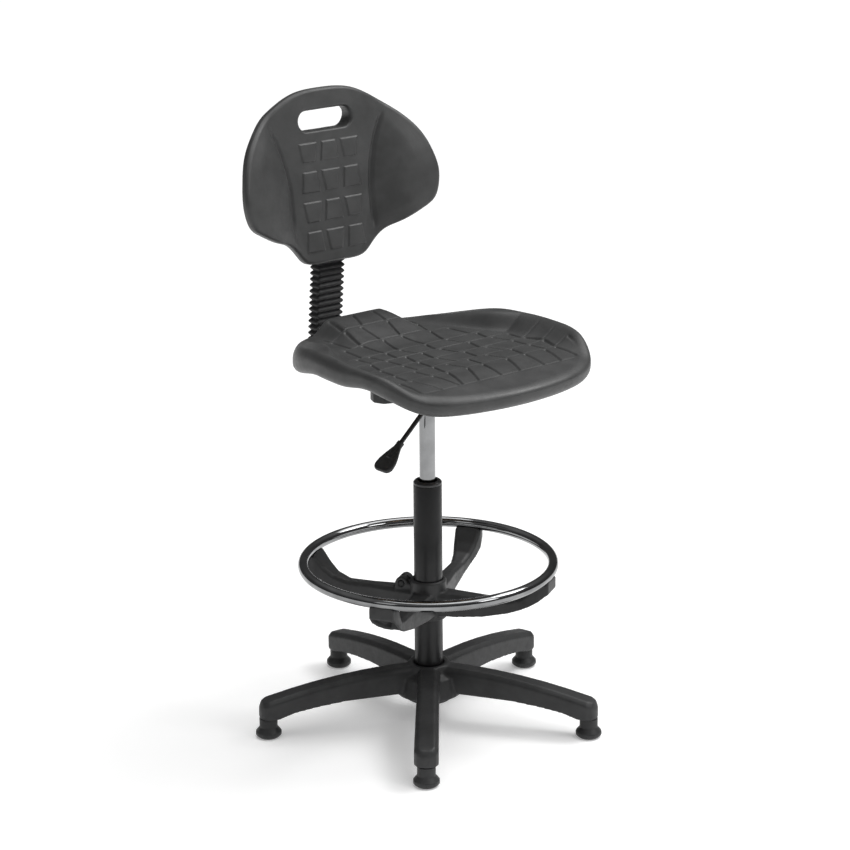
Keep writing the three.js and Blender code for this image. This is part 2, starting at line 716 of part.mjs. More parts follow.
// One turn of wire after another round the tilt pin, with a leg at each end.
class CoilPath extends THREE.Curve {
  constructor(radius, turns, length) {
    super();
    Object.assign(this, { radius, turns, length });
  }
  getPoint(t, target = new THREE.Vector3()) {
    const angle = 2 * Math.PI * this.turns * t;
    return target.set(this.length * t, this.radius * Math.cos(angle), this.radius * Math.sin(angle));
  }
}

function circleShape(radius, sides) {
  const corners = Array.from({ length: sides }, (_, i) => {
    const a = (2 * Math.PI * i) / sides;
    return new THREE.Vector2(radius * Math.cos(a), radius * Math.sin(a));
  });
  return new THREE.Shape(corners);
}

function sweep(path, shape, steps) {
  return new THREE.ExtrudeGeometry(shape, { extrudePath: path, steps, bevelEnabled: false });
}

function tiltSpring() {
  return sweep(new CoilPath(8.2, 3, 9), circleShape(1.3, 5), 24);
}

function tiltPin() {
  const half = HOUSING_HALF + GAP;
  const profile = [
    [0, -half - 3],
    [8, -half - 3],
    [8, -half],
    [TILT_PIN, -half],
    [TILT_PIN, half + 3],
    [0, half + 3],
  ];
  return turned(profile, 20).rotateY(Math.PI / 2);
}

// ---------------------------------------------------------------- lever
function leverRocker() {
  const boss = rod(9, -3.5, 3.5, 20).rotateX(Math.PI / 2).translate(LEVER_X, LEVER_Y, LEVER_Z);
  const fingerLow = CONE_BOTTOM + CONE_LENGTH + VALVE_STANDOUT + 0.6;
  const upright = block([LEVER_X - 5, LEVER_Y - 3.5, LEVER_Z], [LEVER_X + 5, LEVER_Y + 3.5, fingerLow + 4]);
  const reach = block([LEVER_X - 5, LEVER_Y - 3.5, fingerLow], [5, LEVER_Y + 6, fingerLow + 4]);
  const finger = block([-5, LEVER_Y - 3.5, fingerLow], [5, 5, fingerLow + 4]);
  const hole = rod(4 + RUNNING, -10, 10).rotateX(Math.PI / 2).translate(LEVER_X, LEVER_Y, LEVER_Z);
  return cut(joined(boss, upright, reach, finger), hole);
}

// The lever's own frame: +X runs down and out along the rod, Y stays level.
function leverGroup() {
  const group = new THREE.Group();
  group.position.set(LEVER_X, LEVER_Y, LEVER_Z);
  group.rotation.y = Math.PI - radians(LEVER_SLOPE_DEG);
  chair.add(group);
  return group;
}

function paddle() {
  const blade = new THREE.Shape();
  const widest = PADDLE_LENGTH - 13;
  blade.moveTo(0, -6);
  blade.bezierCurveTo(10, -7, 0.5 * PADDLE_LENGTH, -PADDLE_HALF, widest, -PADDLE_HALF);
  blade.bezierCurveTo(PADDLE_LENGTH - 4, -PADDLE_HALF, PADDLE_LENGTH, -16, PADDLE_LENGTH, -9);
  blade.lineTo(PADDLE_LENGTH, 9);
  blade.bezierCurveTo(PADDLE_LENGTH, 16, PADDLE_LENGTH - 4, PADDLE_HALF, widest, PADDLE_HALF);
  blade.bezierCurveTo(0.5 * PADDLE_LENGTH, PADDLE_HALF, 10, 7, 0, 6);
  const flat = new THREE.ExtrudeGeometry(blade, {
    depth: PADDLE_THICK - 4,
    bevelEnabled: true,
    bevelThickness: 2,
    bevelSize: 2,
    bevelOffset: -2,
    bevelSegments: 1,
    curveSegments: 5,
  }).translate(0, 0, 2 - PADDLE_THICK / 2);
  const ferrule = rod(6.5, -5, 30, 16).rotateY(Math.PI / 2);
  const socket = rod(LEVER_ROD + GAP, -20, LEVER_ROD_LENGTH - PADDLE_AT + GAP, 16).rotateY(Math.PI / 2);
  return cut(joined(flat, ferrule), socket);
}

function addMechanism() {
  add("mechanism_housing", housing(), blackSteel());
  add("mount_plate", mountPlate(), blackSteel());
  screwPlaces().forEach(([x, y], k) => {
    add(`seat_screw_${k + 1}`, seatScrew(), zincSteel(), { at: [x, y, 0] });
  });
  add("tilt_pin", tiltPin(), zincSteel(), { at: [0, TILT_Y, TILT_Z] });
  add("tilt_spring_left", tiltSpring(), zincSteel(), { at: [30.4, TILT_Y, TILT_Z] });
  add("tilt_spring_right", tiltSpring(), zincSteel(), { at: [-39.4, TILT_Y, TILT_Z] });
  const leverPin = rod(4, HOUSING_FRONT + STEEL + GAP, LEVER_Y + 8).rotateX(-Math.PI / 2);
  add("lever_pin", leverPin, zincSteel(), { at: [LEVER_X, 0, LEVER_Z] });
  add("lever_rocker", leverRocker(), zincSteel());
  const lever = leverGroup();
  const rodStart = 9 + GAP;
  const leverRod = rod(LEVER_ROD, rodStart, LEVER_ROD_LENGTH, 12).rotateY(Math.PI / 2);
  add("lever_rod", leverRod, blackSteel(), { in: lever });
  add("lever_paddle", paddle(), nylon(), { at: [PADDLE_AT, 0, 0], in: lever });
}
addMechanism();

// ---------------------------------------------------------------- back strut
// The middle line of the strut in the plane of Y and Z: level leg, bend, upright, kink and top.
function strutLine() {
  const lean = radians(BACK_LEAN_DEG);
  const path = new THREE.CurvePath();
  const corner = (y, z) => new THREE.Vector2(y, z);
  const legEnd = corner(STRUT_REAR - STRUT_BEND, STRUT_Z);
  const upStart = corner(STRUT_REAR, STRUT_Z + STRUT_BEND);
  const kink = corner(STRUT_KINK_Y, STRUT_KINK_Z);
  const top = corner(
    STRUT_KINK_Y + STRUT_RISE * Math.sin(lean),
    STRUT_KINK_Z + STRUT_RISE * Math.cos(lean),
  );
  const below = upStart.clone().lerp(kink, 1 - 12 / upStart.distanceTo(kink));
  const above = kink.clone().lerp(top, 12 / STRUT_RISE);
  path.add(new THREE.LineCurve(corner(STRUT_FRONT, STRUT_Z), legEnd));
  path.add(new THREE.QuadraticBezierCurve(legEnd, corner(STRUT_REAR, STRUT_Z), upStart));
  path.add(new THREE.LineCurve(upStart, below));
  path.add(new THREE.QuadraticBezierCurve(below, kink, above));
  path.add(new THREE.LineCurve(above, top));
  return path;
}

// A flat bar bent along a line in the plane of Y and Z, as wide as twice half along X.
function bentBar(path, thick, half) {
  const line = path.getPoints(6);
  const side = (sign) =>
    line.map((p, i) => {
      const along = line[Math.min(i + 1, line.length - 1)].clone().sub(line[Math.max(i - 1, 0)]);
      const across = new THREE.Vector2(-along.y, along.x).normalize();
      return p.clone().addScaledVector(across, (sign * thick) / 2);
    });
  const outline = new THREE.Shape([...side(1), ...side(-1).reverse()]);
  const bar = new THREE.ExtrudeGeometry(outline, { depth: 2 * half, bevelEnabled: false });
  // Shape axes X, Y and depth become Y, Z and X.
  const turn = new THREE.Matrix4().set(0, 0, 1, -half, 1, 0, 0, 0, 0, 1, 0, 0, 0, 0, 0, 1);
  return bar.applyMatrix4(turn);
}

function backGuide() {
  const inside = STRUT_HALF + RUNNING;
  const outside = inside + GUIDE_WALL;
  const low = STRUT_Z - STRUT_THICK / 2 - RUNNING;
  const high = STRUT_Z + STRUT_THICK / 2 + RUNNING;
  const front = TILT_Y - 12;
  const box = block([-outside, front, low - GUIDE_WALL], [outside, GUIDE_REAR, high + GUIDE_WALL]);
  const ears = block([-outside, front, low], [outside, TILT_Y + 12, TILT_Z]);
  const earTops = rod(12, -outside, outside, 24).rotateY(Math.PI / 2).translate(0, TILT_Y, TILT_Z);
  const between = block([-inside, front - 5, high + GUIDE_WALL], [inside, TILT_Y + 20, TILT_Z + 20]);
  const channel = block([-inside, front - 5, low], [inside, GUIDE_REAR + 5, high]);
  const pinHole = rod(TILT_PIN + RUNNING, -60, 60, 20).rotateY(Math.PI / 2).translate(0, TILT_Y, TILT_Z);
  const studHole = rod(STUD_RADIUS + RUNNING, low - 20, low + 1).translate(0, KNOB_Y, 0);
  return cut(joined(box, ears, earTops), between, channel, pinHole, studHole);
}

// A clamping knob with eight shallow lobes; its stud points up from it.
function knob(radius, thick, studTop) {
  const sides = 32;
  const corners = Array.from({ length: sides }, (_, i) => {
    const a = (2 * Math.PI * i) / sides;
    const r = radius - 2.7 + 0.7 * Math.cos(8 * a);
    return new THREE.Vector2(r * Math.cos(a), r * Math.sin(a));
  });
  const grip = new THREE.ExtrudeGeometry(new THREE.Shape(corners), {
    depth: thick - 4,
    bevelEnabled: true,
    bevelThickness: 2,
    bevelSize: 2,
    bevelSegments: 1,
  }).translate(0, 0, 2);
  return joined(grip, rod(STUD_RADIUS, thick - 1, studTop, 16));
}

// Rounded rectangle of a pleat, level.
function pleatRing(halfX, halfY, height) {
  const corner = 4;
  const points = [];
  for (const [sx, sy, start] of [[1, 1, 0], [-1, 1, 90], [-1, -1, 180], [1, -1, 270]]) {
    for (const turn of [0, 90]) {
      const a = radians(start + turn);
      const x = sx * (halfX - corner) + corner * Math.cos(a);
      const y = sy * (halfY - corner) + corner * Math.sin(a);
      points.push(new THREE.Vector3(x, y, height));
    }
  }
  return points;
}

function bellows() {
  const height = BELLOWS_TOP - BELLOWS_BOTTOM;
  const rings = [];
  const levels = 2 * PLEATS;
  const inset = (k) => (k % 2 === 0 ? PLEAT_DEPTH : 0);
  for (let k = 0; k <= levels; k++)
    rings.push(pleatRing(PLEAT_HALF_X - inset(k), PLEAT_HALF_Y - inset(k), (height * k) / levels));
  for (let k = levels; k >= 0; k--) {
    const inwards = inset(k) + BELLOWS_SKIN;
    rings.push(pleatRing(PLEAT_HALF_X - inwards, PLEAT_HALF_Y - inwards, (height * k) / levels));
  }
  return hoop(rings);
}

// The upright leans forwards by this much per millimetre of height.
const UPRIGHT_SLOPE = (STRUT_REAR - STRUT_KINK_Y) / (STRUT_KINK_Z - STRUT_Z - STRUT_BEND);

function addStrut() {
  add("back_guide", backGuide(), blackSteel());
  add("back_strut", bentBar(strutLine(), STRUT_THICK, STRUT_HALF), blackSteel());
  const knobHigh = STRUT_Z - STRUT_THICK / 2 - RUNNING - GUIDE_WALL - 6;
  const knobLow = knobHigh - KNOB_THICK;
  const studTop = STRUT_Z - STRUT_THICK / 2 - GAP - knobLow;
  add("depth_knob", knob(KNOB_RADIUS, KNOB_THICK, studTop), nylon(), { at: [0, KNOB_Y, knobLow] });
  const fromKink = BELLOWS_BOTTOM - STRUT_KINK_Z;
  const at = [0, STRUT_KINK_Y - UPRIGHT_SLOPE * fromKink, BELLOWS_BOTTOM];
  add("bellows", bellows(), rubber(), { at, turn: [Math.atan(UPRIGHT_SLOPE), 0, 0] });
}
addStrut();

// ---------------------------------------------------------------- pads
// A smooth closed outline through half its points, which start and end on the line x = 0.
function mirroredOutline(half, count) {
  const other = half.slice(1, -1).reverse().map(([x, y]) => [-x, y]);
  const points = [...half, ...other].map(([x, y]) => new THREE.Vector3(x, y, 0));
  return new THREE.CatmullRomCurve3(points, true, "centripetal").getSpacedPoints(count).slice(0, -1);
}

// A closed pad: the outline shrunk ring by ring, over the rounded rim and back on the other side.
// face, back and rim give heights at a point; toWorld turns a point and a height into a corner.
function pad(outline, middle, face, back, rim, toWorld) {
  const corner = (p, share, height) => {
    const x = mix(middle[0], p.x, share);
    const y = mix(middle[1], p.y, share);
    return toWorld(x, y, height(x, y, share, p));
  };
  const roll = (surface) => (x, y, share, p) => {
    const bulge = Math.sqrt(1 - Math.pow(Math.max(0, (share - 0.9) / 0.1), 2));
    return mix(rim(p.x, p.y), surface(x, y, share), bulge);
  };
  const shares = [0.25, 0.48, 0.66, 0.8, 0.9, 0.96, 0.99];
  const ring = (share, surface) => outline.map((p) => corner(p, share, roll(surface)));
  const edge = outline.map((p) => toWorld(p.x, p.y, rim(p.x, p.y)));
  const backShares = [0.975, 0.89, 0.72, 0.4];
  return loft([
    ...shares.map((s) => ring(s, face)),
    edge,
    ...backShares.map((s) => ring(s, back)),
  ]);
}

// ---------------------------------------------------------------- seat
const seatHalfOutline = [
  [0, -SEAT_FRONT],
  [0.52 * SEAT_HALF, 18 - SEAT_FRONT],
  [0.8 * SEAT_HALF, 53 - SEAT_FRONT],
  [0.93 * SEAT_HALF, 100 - SEAT_FRONT],
  [SEAT_HALF, 192 - SEAT_FRONT],
  [0.965 * SEAT_HALF, 20],
  [0.9 * SEAT_HALF, 88],
  [SEAT_LOBE_HALF, SEAT_REAR - 60],
  [0.69 * SEAT_LOBE_HALF, SEAT_REAR - 12],
  [0.35 * SEAT_LOBE_HALF, SEAT_REAR - 1],
  [0, SEAT_REAR],
];

// The side bolsters are full beside the thighs and fade towards the rear lobes and the front.
const alongSide = (y) => ease(-210, -20, -y) * (1 - ease(140, 270, -y));

function seatTop(x, y) {
  const bolster = BOLSTER_RISE * ease(130, 205, Math.abs(x)) * alongSide(y);
  const tongue = TONGUE_RISE * (1 - ease(TONGUE_HALF - 20, TONGUE_HALF + 20, Math.abs(x))) * ease(40, 190, y);
  const waterfall = 12 * ease(150, SEAT_FRONT, -y);
  return SEAT_DISH + bolster + tongue - waterfall;
}

// Height of the rim's widest line: it arches up beside the thighs.
const seatRim = (x, y) =>
  SEAT_UNDER + 13 + 25 * ease(-170, -20, -y) * (1 - ease(100, 240, -y)) - 6 * ease(110, 240, -y);

const seatBack = (x, y, share) => mix(SEAT_UNDER, seatRim(x, y) - SEAT_LIP, ease(0.7, 0.92, share));

function seatPad() {
  const outline = mirroredOutline(seatHalfOutline, 44);
  const solid = pad(outline, [0, 0], seatTop, seatBack, seatRim, (x, y, h) => new THREE.Vector3(x, y, h));
  const pocket = block(
    [-INSERT_HALF_X - GAP, PLATE_Y - INSERT_HALF_Y - GAP, 0],
    [INSERT_HALF_X + GAP, PLATE_Y + INSERT_HALF_Y + GAP, SEAT_UNDER + INSERT_THICK + GAP],
  );
  return cut(solid, pocket);
}

function seatInsert() {
  const board = block(
    [-INSERT_HALF_X, PLATE_Y - INSERT_HALF_Y, SEAT_UNDER],
    [INSERT_HALF_X, PLATE_Y + INSERT_HALF_Y, SEAT_UNDER + INSERT_THICK],
  );
  return cut(board, ...screwPlaces().map(([x, y]) => rod(4 + GAP, 0, 900, 8).translate(x, y, 0)));
}

add("seat_pad", seatPad(), foamSkin());
add("seat_insert", seatInsert(), plywood());

// ---------------------------------------------------------------- back
// The back's own frame: origin on the strut's kink, Z up along the lean and Y out to the rear.
const back = new THREE.Group();
back.position.set(0, STRUT_KINK_Y, STRUT_KINK_Z);
back.rotation.x = -radians(BACK_LEAN_DEG);
chair.add(back);

const backHalfOutline = [
  [0, BACK_TOP],
  [60, BACK_TOP - 5],
  [112, BACK_TOP - 28],
  [160, BACK_TOP - 62],
  [0.89 * BACK_HALF, BACK_TOP - 97],
  [0.962 * BACK_HALF, BACK_TOP - 132],
  [BACK_HALF, BACK_TOP - 177],
  [0.945 * BACK_HALF, BACK_TOP - 219],
  [0.83 * BACK_HALF, BACK_TOP - 235],
  [142, BACK_BOTTOM + 54],
  [106, BACK_BOTTOM + 42],
  [86, BACK_BOTTOM + 25],
  [TONGUE_FOOT + 10, BACK_BOTTOM + 5],
  [TONGUE_FOOT - 4, BACK_BOTTOM],
  [0, BACK_BOTTOM],
];

// Where the wings start, half-way across: closest to the middle at the waist of the pad.
const crease = (z) => CREASE + 40 * Math.pow(Math.max(0, z - 115) / 142, 2);

function backFace(x, z) {
  const share = Math.max(0, Math.abs(x) - crease(z)) / (BACK_HALF - crease(z));
  return BACK_FACE - WING_RISE * Math.min(share, 1);
}

const backRear = (x, z, share) => {
  const thinned = Math.max(ease(60, 150, Math.abs(x)), ease(0.6, 0.95, share));
  return backFace(x, z) + mix(BACK_THICK, BACK_RIM_THICK, thinned);
};
const backRim = (x, z) => backFace(x, z) + BACK_RIM_THICK / 2;

function handSlot() {
  const outline = new THREE.Shape();
  const straight = SLOT_HALF - SLOT_RADIUS;
  outline.absarc(straight, 0, SLOT_RADIUS, -Math.PI / 2, Math.PI / 2, false);
  outline.absarc(-straight, 0, SLOT_RADIUS, Math.PI / 2, (3 * Math.PI) / 2, false);
  const bar = new THREE.ExtrudeGeometry(outline, { depth: 200, bevelEnabled: false, curveSegments: 10 });
  return bar.translate(0, 0, -100).rotateX(Math.PI / 2).translate(0, 0, SLOT_HEIGHT);
}

function backPad() {
  const outline = mirroredOutline(backHalfOutline, 48);
  const toWorld = (x, z, depth) => new THREE.Vector3(x, depth, z);
  const solid = pad(outline, [0, 150], backFace, backRear, backRim, toWorld);
  const pocket = block([-POCKET_HALF, POCKET_FLOOR, -50], [POCKET_HALF, 60, POCKET_TOP]);
  return cut(solid, handSlot(), pocket);
}

function bracketScrewPlaces() {
  return [-1, 1].flatMap((sx) => [BRACKET_LOW + 14, BRACKET_HIGH - 14].map((z) => [sx * BRACKET_SCREW_X, z]));
}

const acrossPad = (geometry) => geometry.rotateX(-Math.PI / 2);
const FLANGE_FRONT = POCKET_FLOOR + 3.3;

function bracketHoles() {
  const hole = ([x, z]) => acrossPad(rod(3 + GAP, -60, 60, 8)).translate(x, 0, z);
  return bracketScrewPlaces().map(hole);
}

function backInsert() {
  const plate = block(
    [2 - POCKET_HALF, POCKET_FLOOR + GAP, BRACKET_LOW - 6],
    [POCKET_HALF - 2, FLANGE_FRONT - GAP, BRACKET_HIGH + 6],
  );
  return cut(plate, ...bracketHoles());
}

function backBracket() {
  const flange = block(
    [-FLANGE_HALF, FLANGE_FRONT, BRACKET_LOW],
    [FLANGE_HALF, FLANGE_FRONT + FLANGE, BRACKET_HIGH],
  );
  const body = block([-BRACKET_HALF, FLANGE_FRONT, BRACKET_LOW], [BRACKET_HALF, BRACKET_REAR, BRACKET_HIGH]);
  const inside = STRUT_THICK / 2 + RUNNING;
  const channel = block([-STRUT_HALF - RUNNING, -inside, 0], [STRUT_HALF + RUNNING, inside, 200]);
  const middle = (BRACKET_LOW + BRACKET_HIGH) / 2;
  const studHole = acrossPad(rod(STUD_RADIUS + RUNNING, 0, 60)).translate(0, 0, middle);
  return cut(joined(flange, body), channel, studHole, ...bracketHoles());
}

function bracketScrew() {
  const under = FLANGE_FRONT + FLANGE + GAP;
  const tip = POCKET_FLOOR + 0.6;
  const profile = [
    [0, tip],
    [3, tip],
    [3, under],
    [5.2, under],
    [5.2, under + 3.5],
    [0, under + 3.5],
  ];
  return acrossPad(turned(profile, 8));
}

function addBack() {
  add("back_pad", backPad(), foamSkin(), { in: back });
  add("back_insert", backInsert(), zincSteel(), { in: back });
  add("back_bracket", backBracket(), nylon(), { in: back });
  bracketScrewPlaces().forEach(([x, z], k) =>
    add(`back_screw_${k + 1}`, bracketScrew(), zincSteel(), { at: [x, 0, z], in: back }),
  );
  const knobThick = KNOB_THICK - 2;
  const knobRear = BRACKET_REAR + 4 + knobThick;
  const studTop = knobRear - STRUT_THICK / 2 - GAP;
  const grip = knob(KNOB_RADIUS - 2, knobThick, studTop).rotateX(Math.PI / 2);
  add("back_knob", grip, nylon(), { at: [0, knobRear, (BRACKET_LOW + BRACKET_HIGH) / 2], in: back });
}
addBack();

// ---------------------------------------------------------------- origin
chair.updateMatrixWorld(true);
const footprint = new THREE.Box3().setFromObject(chair).getCenter(new THREE.Vector3());
chair.position.set(-footprint.x, -footprint.y, 0);

export default chair;
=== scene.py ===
"""A tall drafting chair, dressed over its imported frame.

Sizes inside the classes are millimetres in the chair's own plan: X to the sitter's left, Y to the rear, Z up,
measured from the column axis and the floor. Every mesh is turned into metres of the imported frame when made.
"""

import logging
from dataclasses import dataclass
from enum import Enum
from math import cos, pi, radians, sin
from typing import Optional, Sequence

import bmesh
import bpy
import numpy as np
from mathutils import Matrix, Vector


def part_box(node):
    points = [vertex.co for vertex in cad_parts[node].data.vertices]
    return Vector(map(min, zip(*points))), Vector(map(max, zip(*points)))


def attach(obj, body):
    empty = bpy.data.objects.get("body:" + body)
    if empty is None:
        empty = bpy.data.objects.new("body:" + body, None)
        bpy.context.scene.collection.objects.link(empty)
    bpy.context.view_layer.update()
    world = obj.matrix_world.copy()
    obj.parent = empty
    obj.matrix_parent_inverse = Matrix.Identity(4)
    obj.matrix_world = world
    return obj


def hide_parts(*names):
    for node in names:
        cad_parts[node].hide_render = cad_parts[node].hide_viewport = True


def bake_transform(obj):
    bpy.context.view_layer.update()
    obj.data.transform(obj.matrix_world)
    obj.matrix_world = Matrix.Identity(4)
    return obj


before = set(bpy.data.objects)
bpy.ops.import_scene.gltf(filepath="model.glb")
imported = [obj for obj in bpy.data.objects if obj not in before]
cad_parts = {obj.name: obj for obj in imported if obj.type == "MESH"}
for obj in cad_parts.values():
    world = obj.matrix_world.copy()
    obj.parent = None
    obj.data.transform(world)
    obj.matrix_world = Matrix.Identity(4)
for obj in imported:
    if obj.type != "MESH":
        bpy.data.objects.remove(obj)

LOG = logging.getLogger("drafting_chair")
MM = 0.001
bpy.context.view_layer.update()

# Bevels on steel parts, in millimetres, and how far an edge turns, in degrees, before it gets one.
PRESSED_EDGE = 0.6
PIN_EDGE = 0.5
FINE_EDGE = 0.4
STEEL_TURN = 40.0

# Edges of the mouldings that turn by more than this many degrees stay crisp.
MOULDED_TURN = 75.0

# Most of a noise pattern lies between these levels.
PATCH_LOW, PATCH_HIGH = 0.3, 0.7


# ---------------------------------------------------------------- shop tools


def ease(start: float, stop: float, value: np.ndarray) -> np.ndarray:
    """A smooth step.

    Args:
        start: value where the step begins.
        stop: value where the step is complete.
        value: the values to step.

    Returns:
        0 before start, 1 after stop, and a smooth rise between.
    """
    t = np.clip((np.asarray(value, float) - start) / (stop - start), 0.0, 1.0)
    return t * t * (3 - 2 * t)


def mix(a: np.ndarray, b: np.ndarray, share: np.ndarray) -> np.ndarray:
    """The value share of the way from a to b."""
    return a + (b - a) * share


def column_axis() -> np.ndarray:
    """The column's axis on the floor, in metres of the frame."""
    low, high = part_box("gas_cylinder")
    return np.array([(low.x + high.x) / 2, (low.y + high.y) / 2, 0.0])


def to_frame(points: np.ndarray) -> np.ndarray:
    """Chair millimetres as metres of the frame."""
    return np.asarray(points, float) * MM + column_axis()


def make_object(
    name: str, points: np.ndarray, faces: Sequence[Sequence[int]], sharp: float = 60.0
) -> bpy.types.Object:
    """Makes a smooth-shaded mesh object.

    Args:
        name: the piece's name.
        points: its points, in metres of the frame.
        faces: point numbers of each face.
        sharp: edges that turn by more than this many degrees stay crisp.

    Returns:
        The new object, linked to the scene.
    """
    mesh = bpy.data.meshes.new(name)
    mesh.from_pydata(np.asarray(points).tolist(), [], [tuple(int(i) for i in f) for f in faces])
    tidy = bmesh.new()
    tidy.from_mesh(mesh)
    bmesh.ops.recalc_face_normals(tidy, faces=tidy.faces)
    tidy.to_mesh(mesh)
    tidy.free()
    shade(mesh, sharp)
    piece = bpy.data.objects.new(name, mesh)
    bpy.context.scene.collection.objects.link(piece)
    return piece


def shade(mesh: bpy.types.Mesh, sharp: float) -> None:
    """Shades a mesh smoothly.

    Args:
        mesh: the mesh.
        sharp: edges that turn by more than this many degrees stay crisp.
    """
    mesh.polygons.foreach_set("use_smooth", [True] * len(mesh.polygons))
    mesh.set_sharp_from_angle(angle=radians(sharp))
    mesh.update()


def skin(loops: np.ndarray, closed_path: bool = False, capped: bool = True) -> list[tuple[int, ...]]:
    """Faces over a row of closed loops.

    Args:
        loops: points as (loops, seats, 3).
        closed_path: joins the last loop back to the first.
        capped: fills the first and last loops.

    Returns:
        Faces numbered over the flattened loops.
    """
    rows, seats = loops.shape[:2]
    faces: list[tuple[int, ...]] = []
    for i in range(rows if closed_path else rows - 1):
        here, there = i * seats, ((i + 1) % rows) * seats
        for j in range(seats):
            k = (j + 1) % seats
            faces.append((here + j, here + k, there + k, there + j))
    if capped and not closed_path:
        faces.append(tuple(range(seats - 1, -1, -1)))
        faces.append(tuple(range((rows - 1) * seats, rows * seats)))
    return faces


def settle(piece: bpy.types.Object, sharp: float) -> None:
    """Bakes a piece's modifiers into its mesh.

    Args:
        piece: the piece.
        sharp: edges that turn by more than this many degrees stay crisp.
    """
    bpy.context.view_layer.update()
    ready = piece.evaluated_get(bpy.context.evaluated_depsgraph_get())
    mesh = bpy.data.meshes.new_from_object(ready)
    piece.modifiers.clear()
    piece.data = mesh
    shade(mesh, sharp)


def copy_of(node: str, name: str) -> bpy.types.Object:
    """A loose copy of a frame node's mesh with its seams welded.

    Args:
        node: the frame node.
        name: the copy's name.

    Returns:
        The copy, at the node's own place.
    """
    mesh = bpy.data.meshes.new(name)
    weld = bmesh.new()
    weld.from_mesh(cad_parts[node].data)
    bmesh.ops.remove_doubles(weld, verts=weld.verts, dist=0.01 * MM)
    bmesh.ops.dissolve_limit(weld, angle_limit=radians(0.6), verts=weld.verts, edges=weld.edges)
    bmesh.ops.recalc_face_normals(weld, faces=weld.faces)
    weld.to_mesh(mesh)
    weld.free()
    piece = bpy.data.objects.new(name, mesh)
    bpy.context.scene.collection.objects.link(piece)
    return piece


def softened(node: str, name: str, voxel: float, passes: int) -> bpy.types.Object:
    """A moulded piece: a node's shape with its edges rounded over as a mould leaves them.

    Args:
        node: the frame node that it stands for.
        name: the piece's name.
        voxel: mesh size, in millimetres.
        passes: smoothing passes, more for rounder edges.

    Returns:
        The piece.
    """
    piece = copy_of(node, name)
    even = piece.modifiers.new("even", "REMESH")
    even.mode = "VOXEL"
    even.voxel_size = voxel * MM
    rounds = piece.modifiers.new("rounds", "SMOOTH")
    rounds.factor = 0.5
    rounds.iterations = passes
    settle(piece, 70)
    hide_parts(node)
    return piece


def eased(node: str, name: str, width: float, sharp: float = 30.0) -> bpy.types.Object:
    """A turned, pressed or sawn piece: a node's shape with small eased edges.

    Args:
        node: the frame node that it stands for.
        name: the piece's name.
        width: width of the eased edge, in millimetres.
        sharp: edges that turn by more than this many degrees are eased.

    Returns:
        The piece.
    """
    piece = copy_of(node, name)
    edge = piece.modifiers.new("edge", "BEVEL")
    edge.width = width * MM
    edge.segments = 2
    edge.limit_method = "ANGLE"
    edge.angle_limit = radians(sharp)
    edge.use_clamp_overlap = True
    settle(piece, sharp + 8)
    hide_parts(node)
    return piece


def cut_away(piece: bpy.types.Object, cutters: Sequence[bpy.types.Object], sharp: float) -> None:
    """Takes cutters out of a piece and removes the cutters.

    Args:
        piece: the piece.
        cutters: closed meshes.
        sharp: edges that turn by more than this many degrees stay crisp.
    """
    for cutter in cutters:
        bite = piece.modifiers.new("bite", "BOOLEAN")
        bite.operation = "DIFFERENCE"
        bite.solver = "MANIFOLD"
        bite.object = cutter
    settle(piece, sharp)
    for cutter in cutters:
        bpy.data.objects.remove(cutter)


def rounded_outline(half: Sequence[tuple[float, float]], seats: int, fairing: int = 30) -> np.ndarray:
    """A mirrored outline, drawn smoothly through its points and evenly spaced.

    Args:
        half: points of the half at +X, from one end of the mirror line to the other.
        seats: number of points wanted.
        fairing: smoothing passes along the line.

    Returns:
        Points as (seats, 2).
    """
    right = np.array(half, float)
    corners = np.concatenate([right, (right * [-1, 1])[1:-1][::-1]])
    count = len(corners)
    drawn = []
    for i in range(count):
        p0, p1, p2, p3 = (corners[(i + k) % count] for k in (-1, 0, 1, 2))
        d0, d1, d2 = (float(np.linalg.norm(b - a)) ** 0.5 for a, b in ((p0, p1), (p1, p2), (p2, p3)))
        m1 = ((p1 - p0) / d0 - (p2 - p0) / (d0 + d1) + (p2 - p1) / d1) * d1
        m2 = ((p2 - p1) / d1 - (p3 - p1) / (d1 + d2) + (p3 - p2) / d2) * d1
        t = np.linspace(0, 1, 60, endpoint=False)[:, None]
        leaving = p1 * (2 * t**3 - 3 * t**2 + 1) + m1 * (t**3 - 2 * t**2 + t)
        drawn.append(leaving + p2 * (3 * t**2 - 2 * t**3) + m2 * (t**3 - t**2))
    line = np.concatenate(drawn + [drawn[0][:1]])
    walked = np.concatenate([[0], np.cumsum(np.linalg.norm(np.diff(line, axis=0), axis=1))])
    stops = np.linspace(0, walked[-1], seats, endpoint=False)
    even = np.stack([np.interp(stops, walked, line[:, k]) for k in (0, 1)], 1)
    for _ in range(fairing):
        even = even / 2 + (np.roll(even, 1, 0) + np.roll(even, -1, 0)) / 4
    return even


def rounded_loop(half_x: float, half_y: float, corner: float, seats: int) -> np.ndarray:
    """A rounded rectangle about the origin.

    Args:
        half_x: half its width.
        half_y: half its depth.
        corner: corner radius.
        seats: points at each corner.

    Returns:
        Points as (4 * seats, 2).
    """
    around = []
    for quarter, (sx, sy) in enumerate(((1, 1), (-1, 1), (-1, -1), (1, -1))):
        x, y = sx * (half_x - corner), sy * (half_y - corner)
        for angle in np.linspace(0, pi / 2, seats) + quarter * pi / 2:
            around.append((x + corner * cos(angle), y + corner * sin(angle)))
    return np.array(around)


# ------------------------------------------------------------------- finishes


class Grain(Enum):
    """The kinds of surface that a finish can have."""

    PEBBLE = "pebble"
    SPARK = "spark"
    DRAWN = "drawn"
    PLIES = "plies"


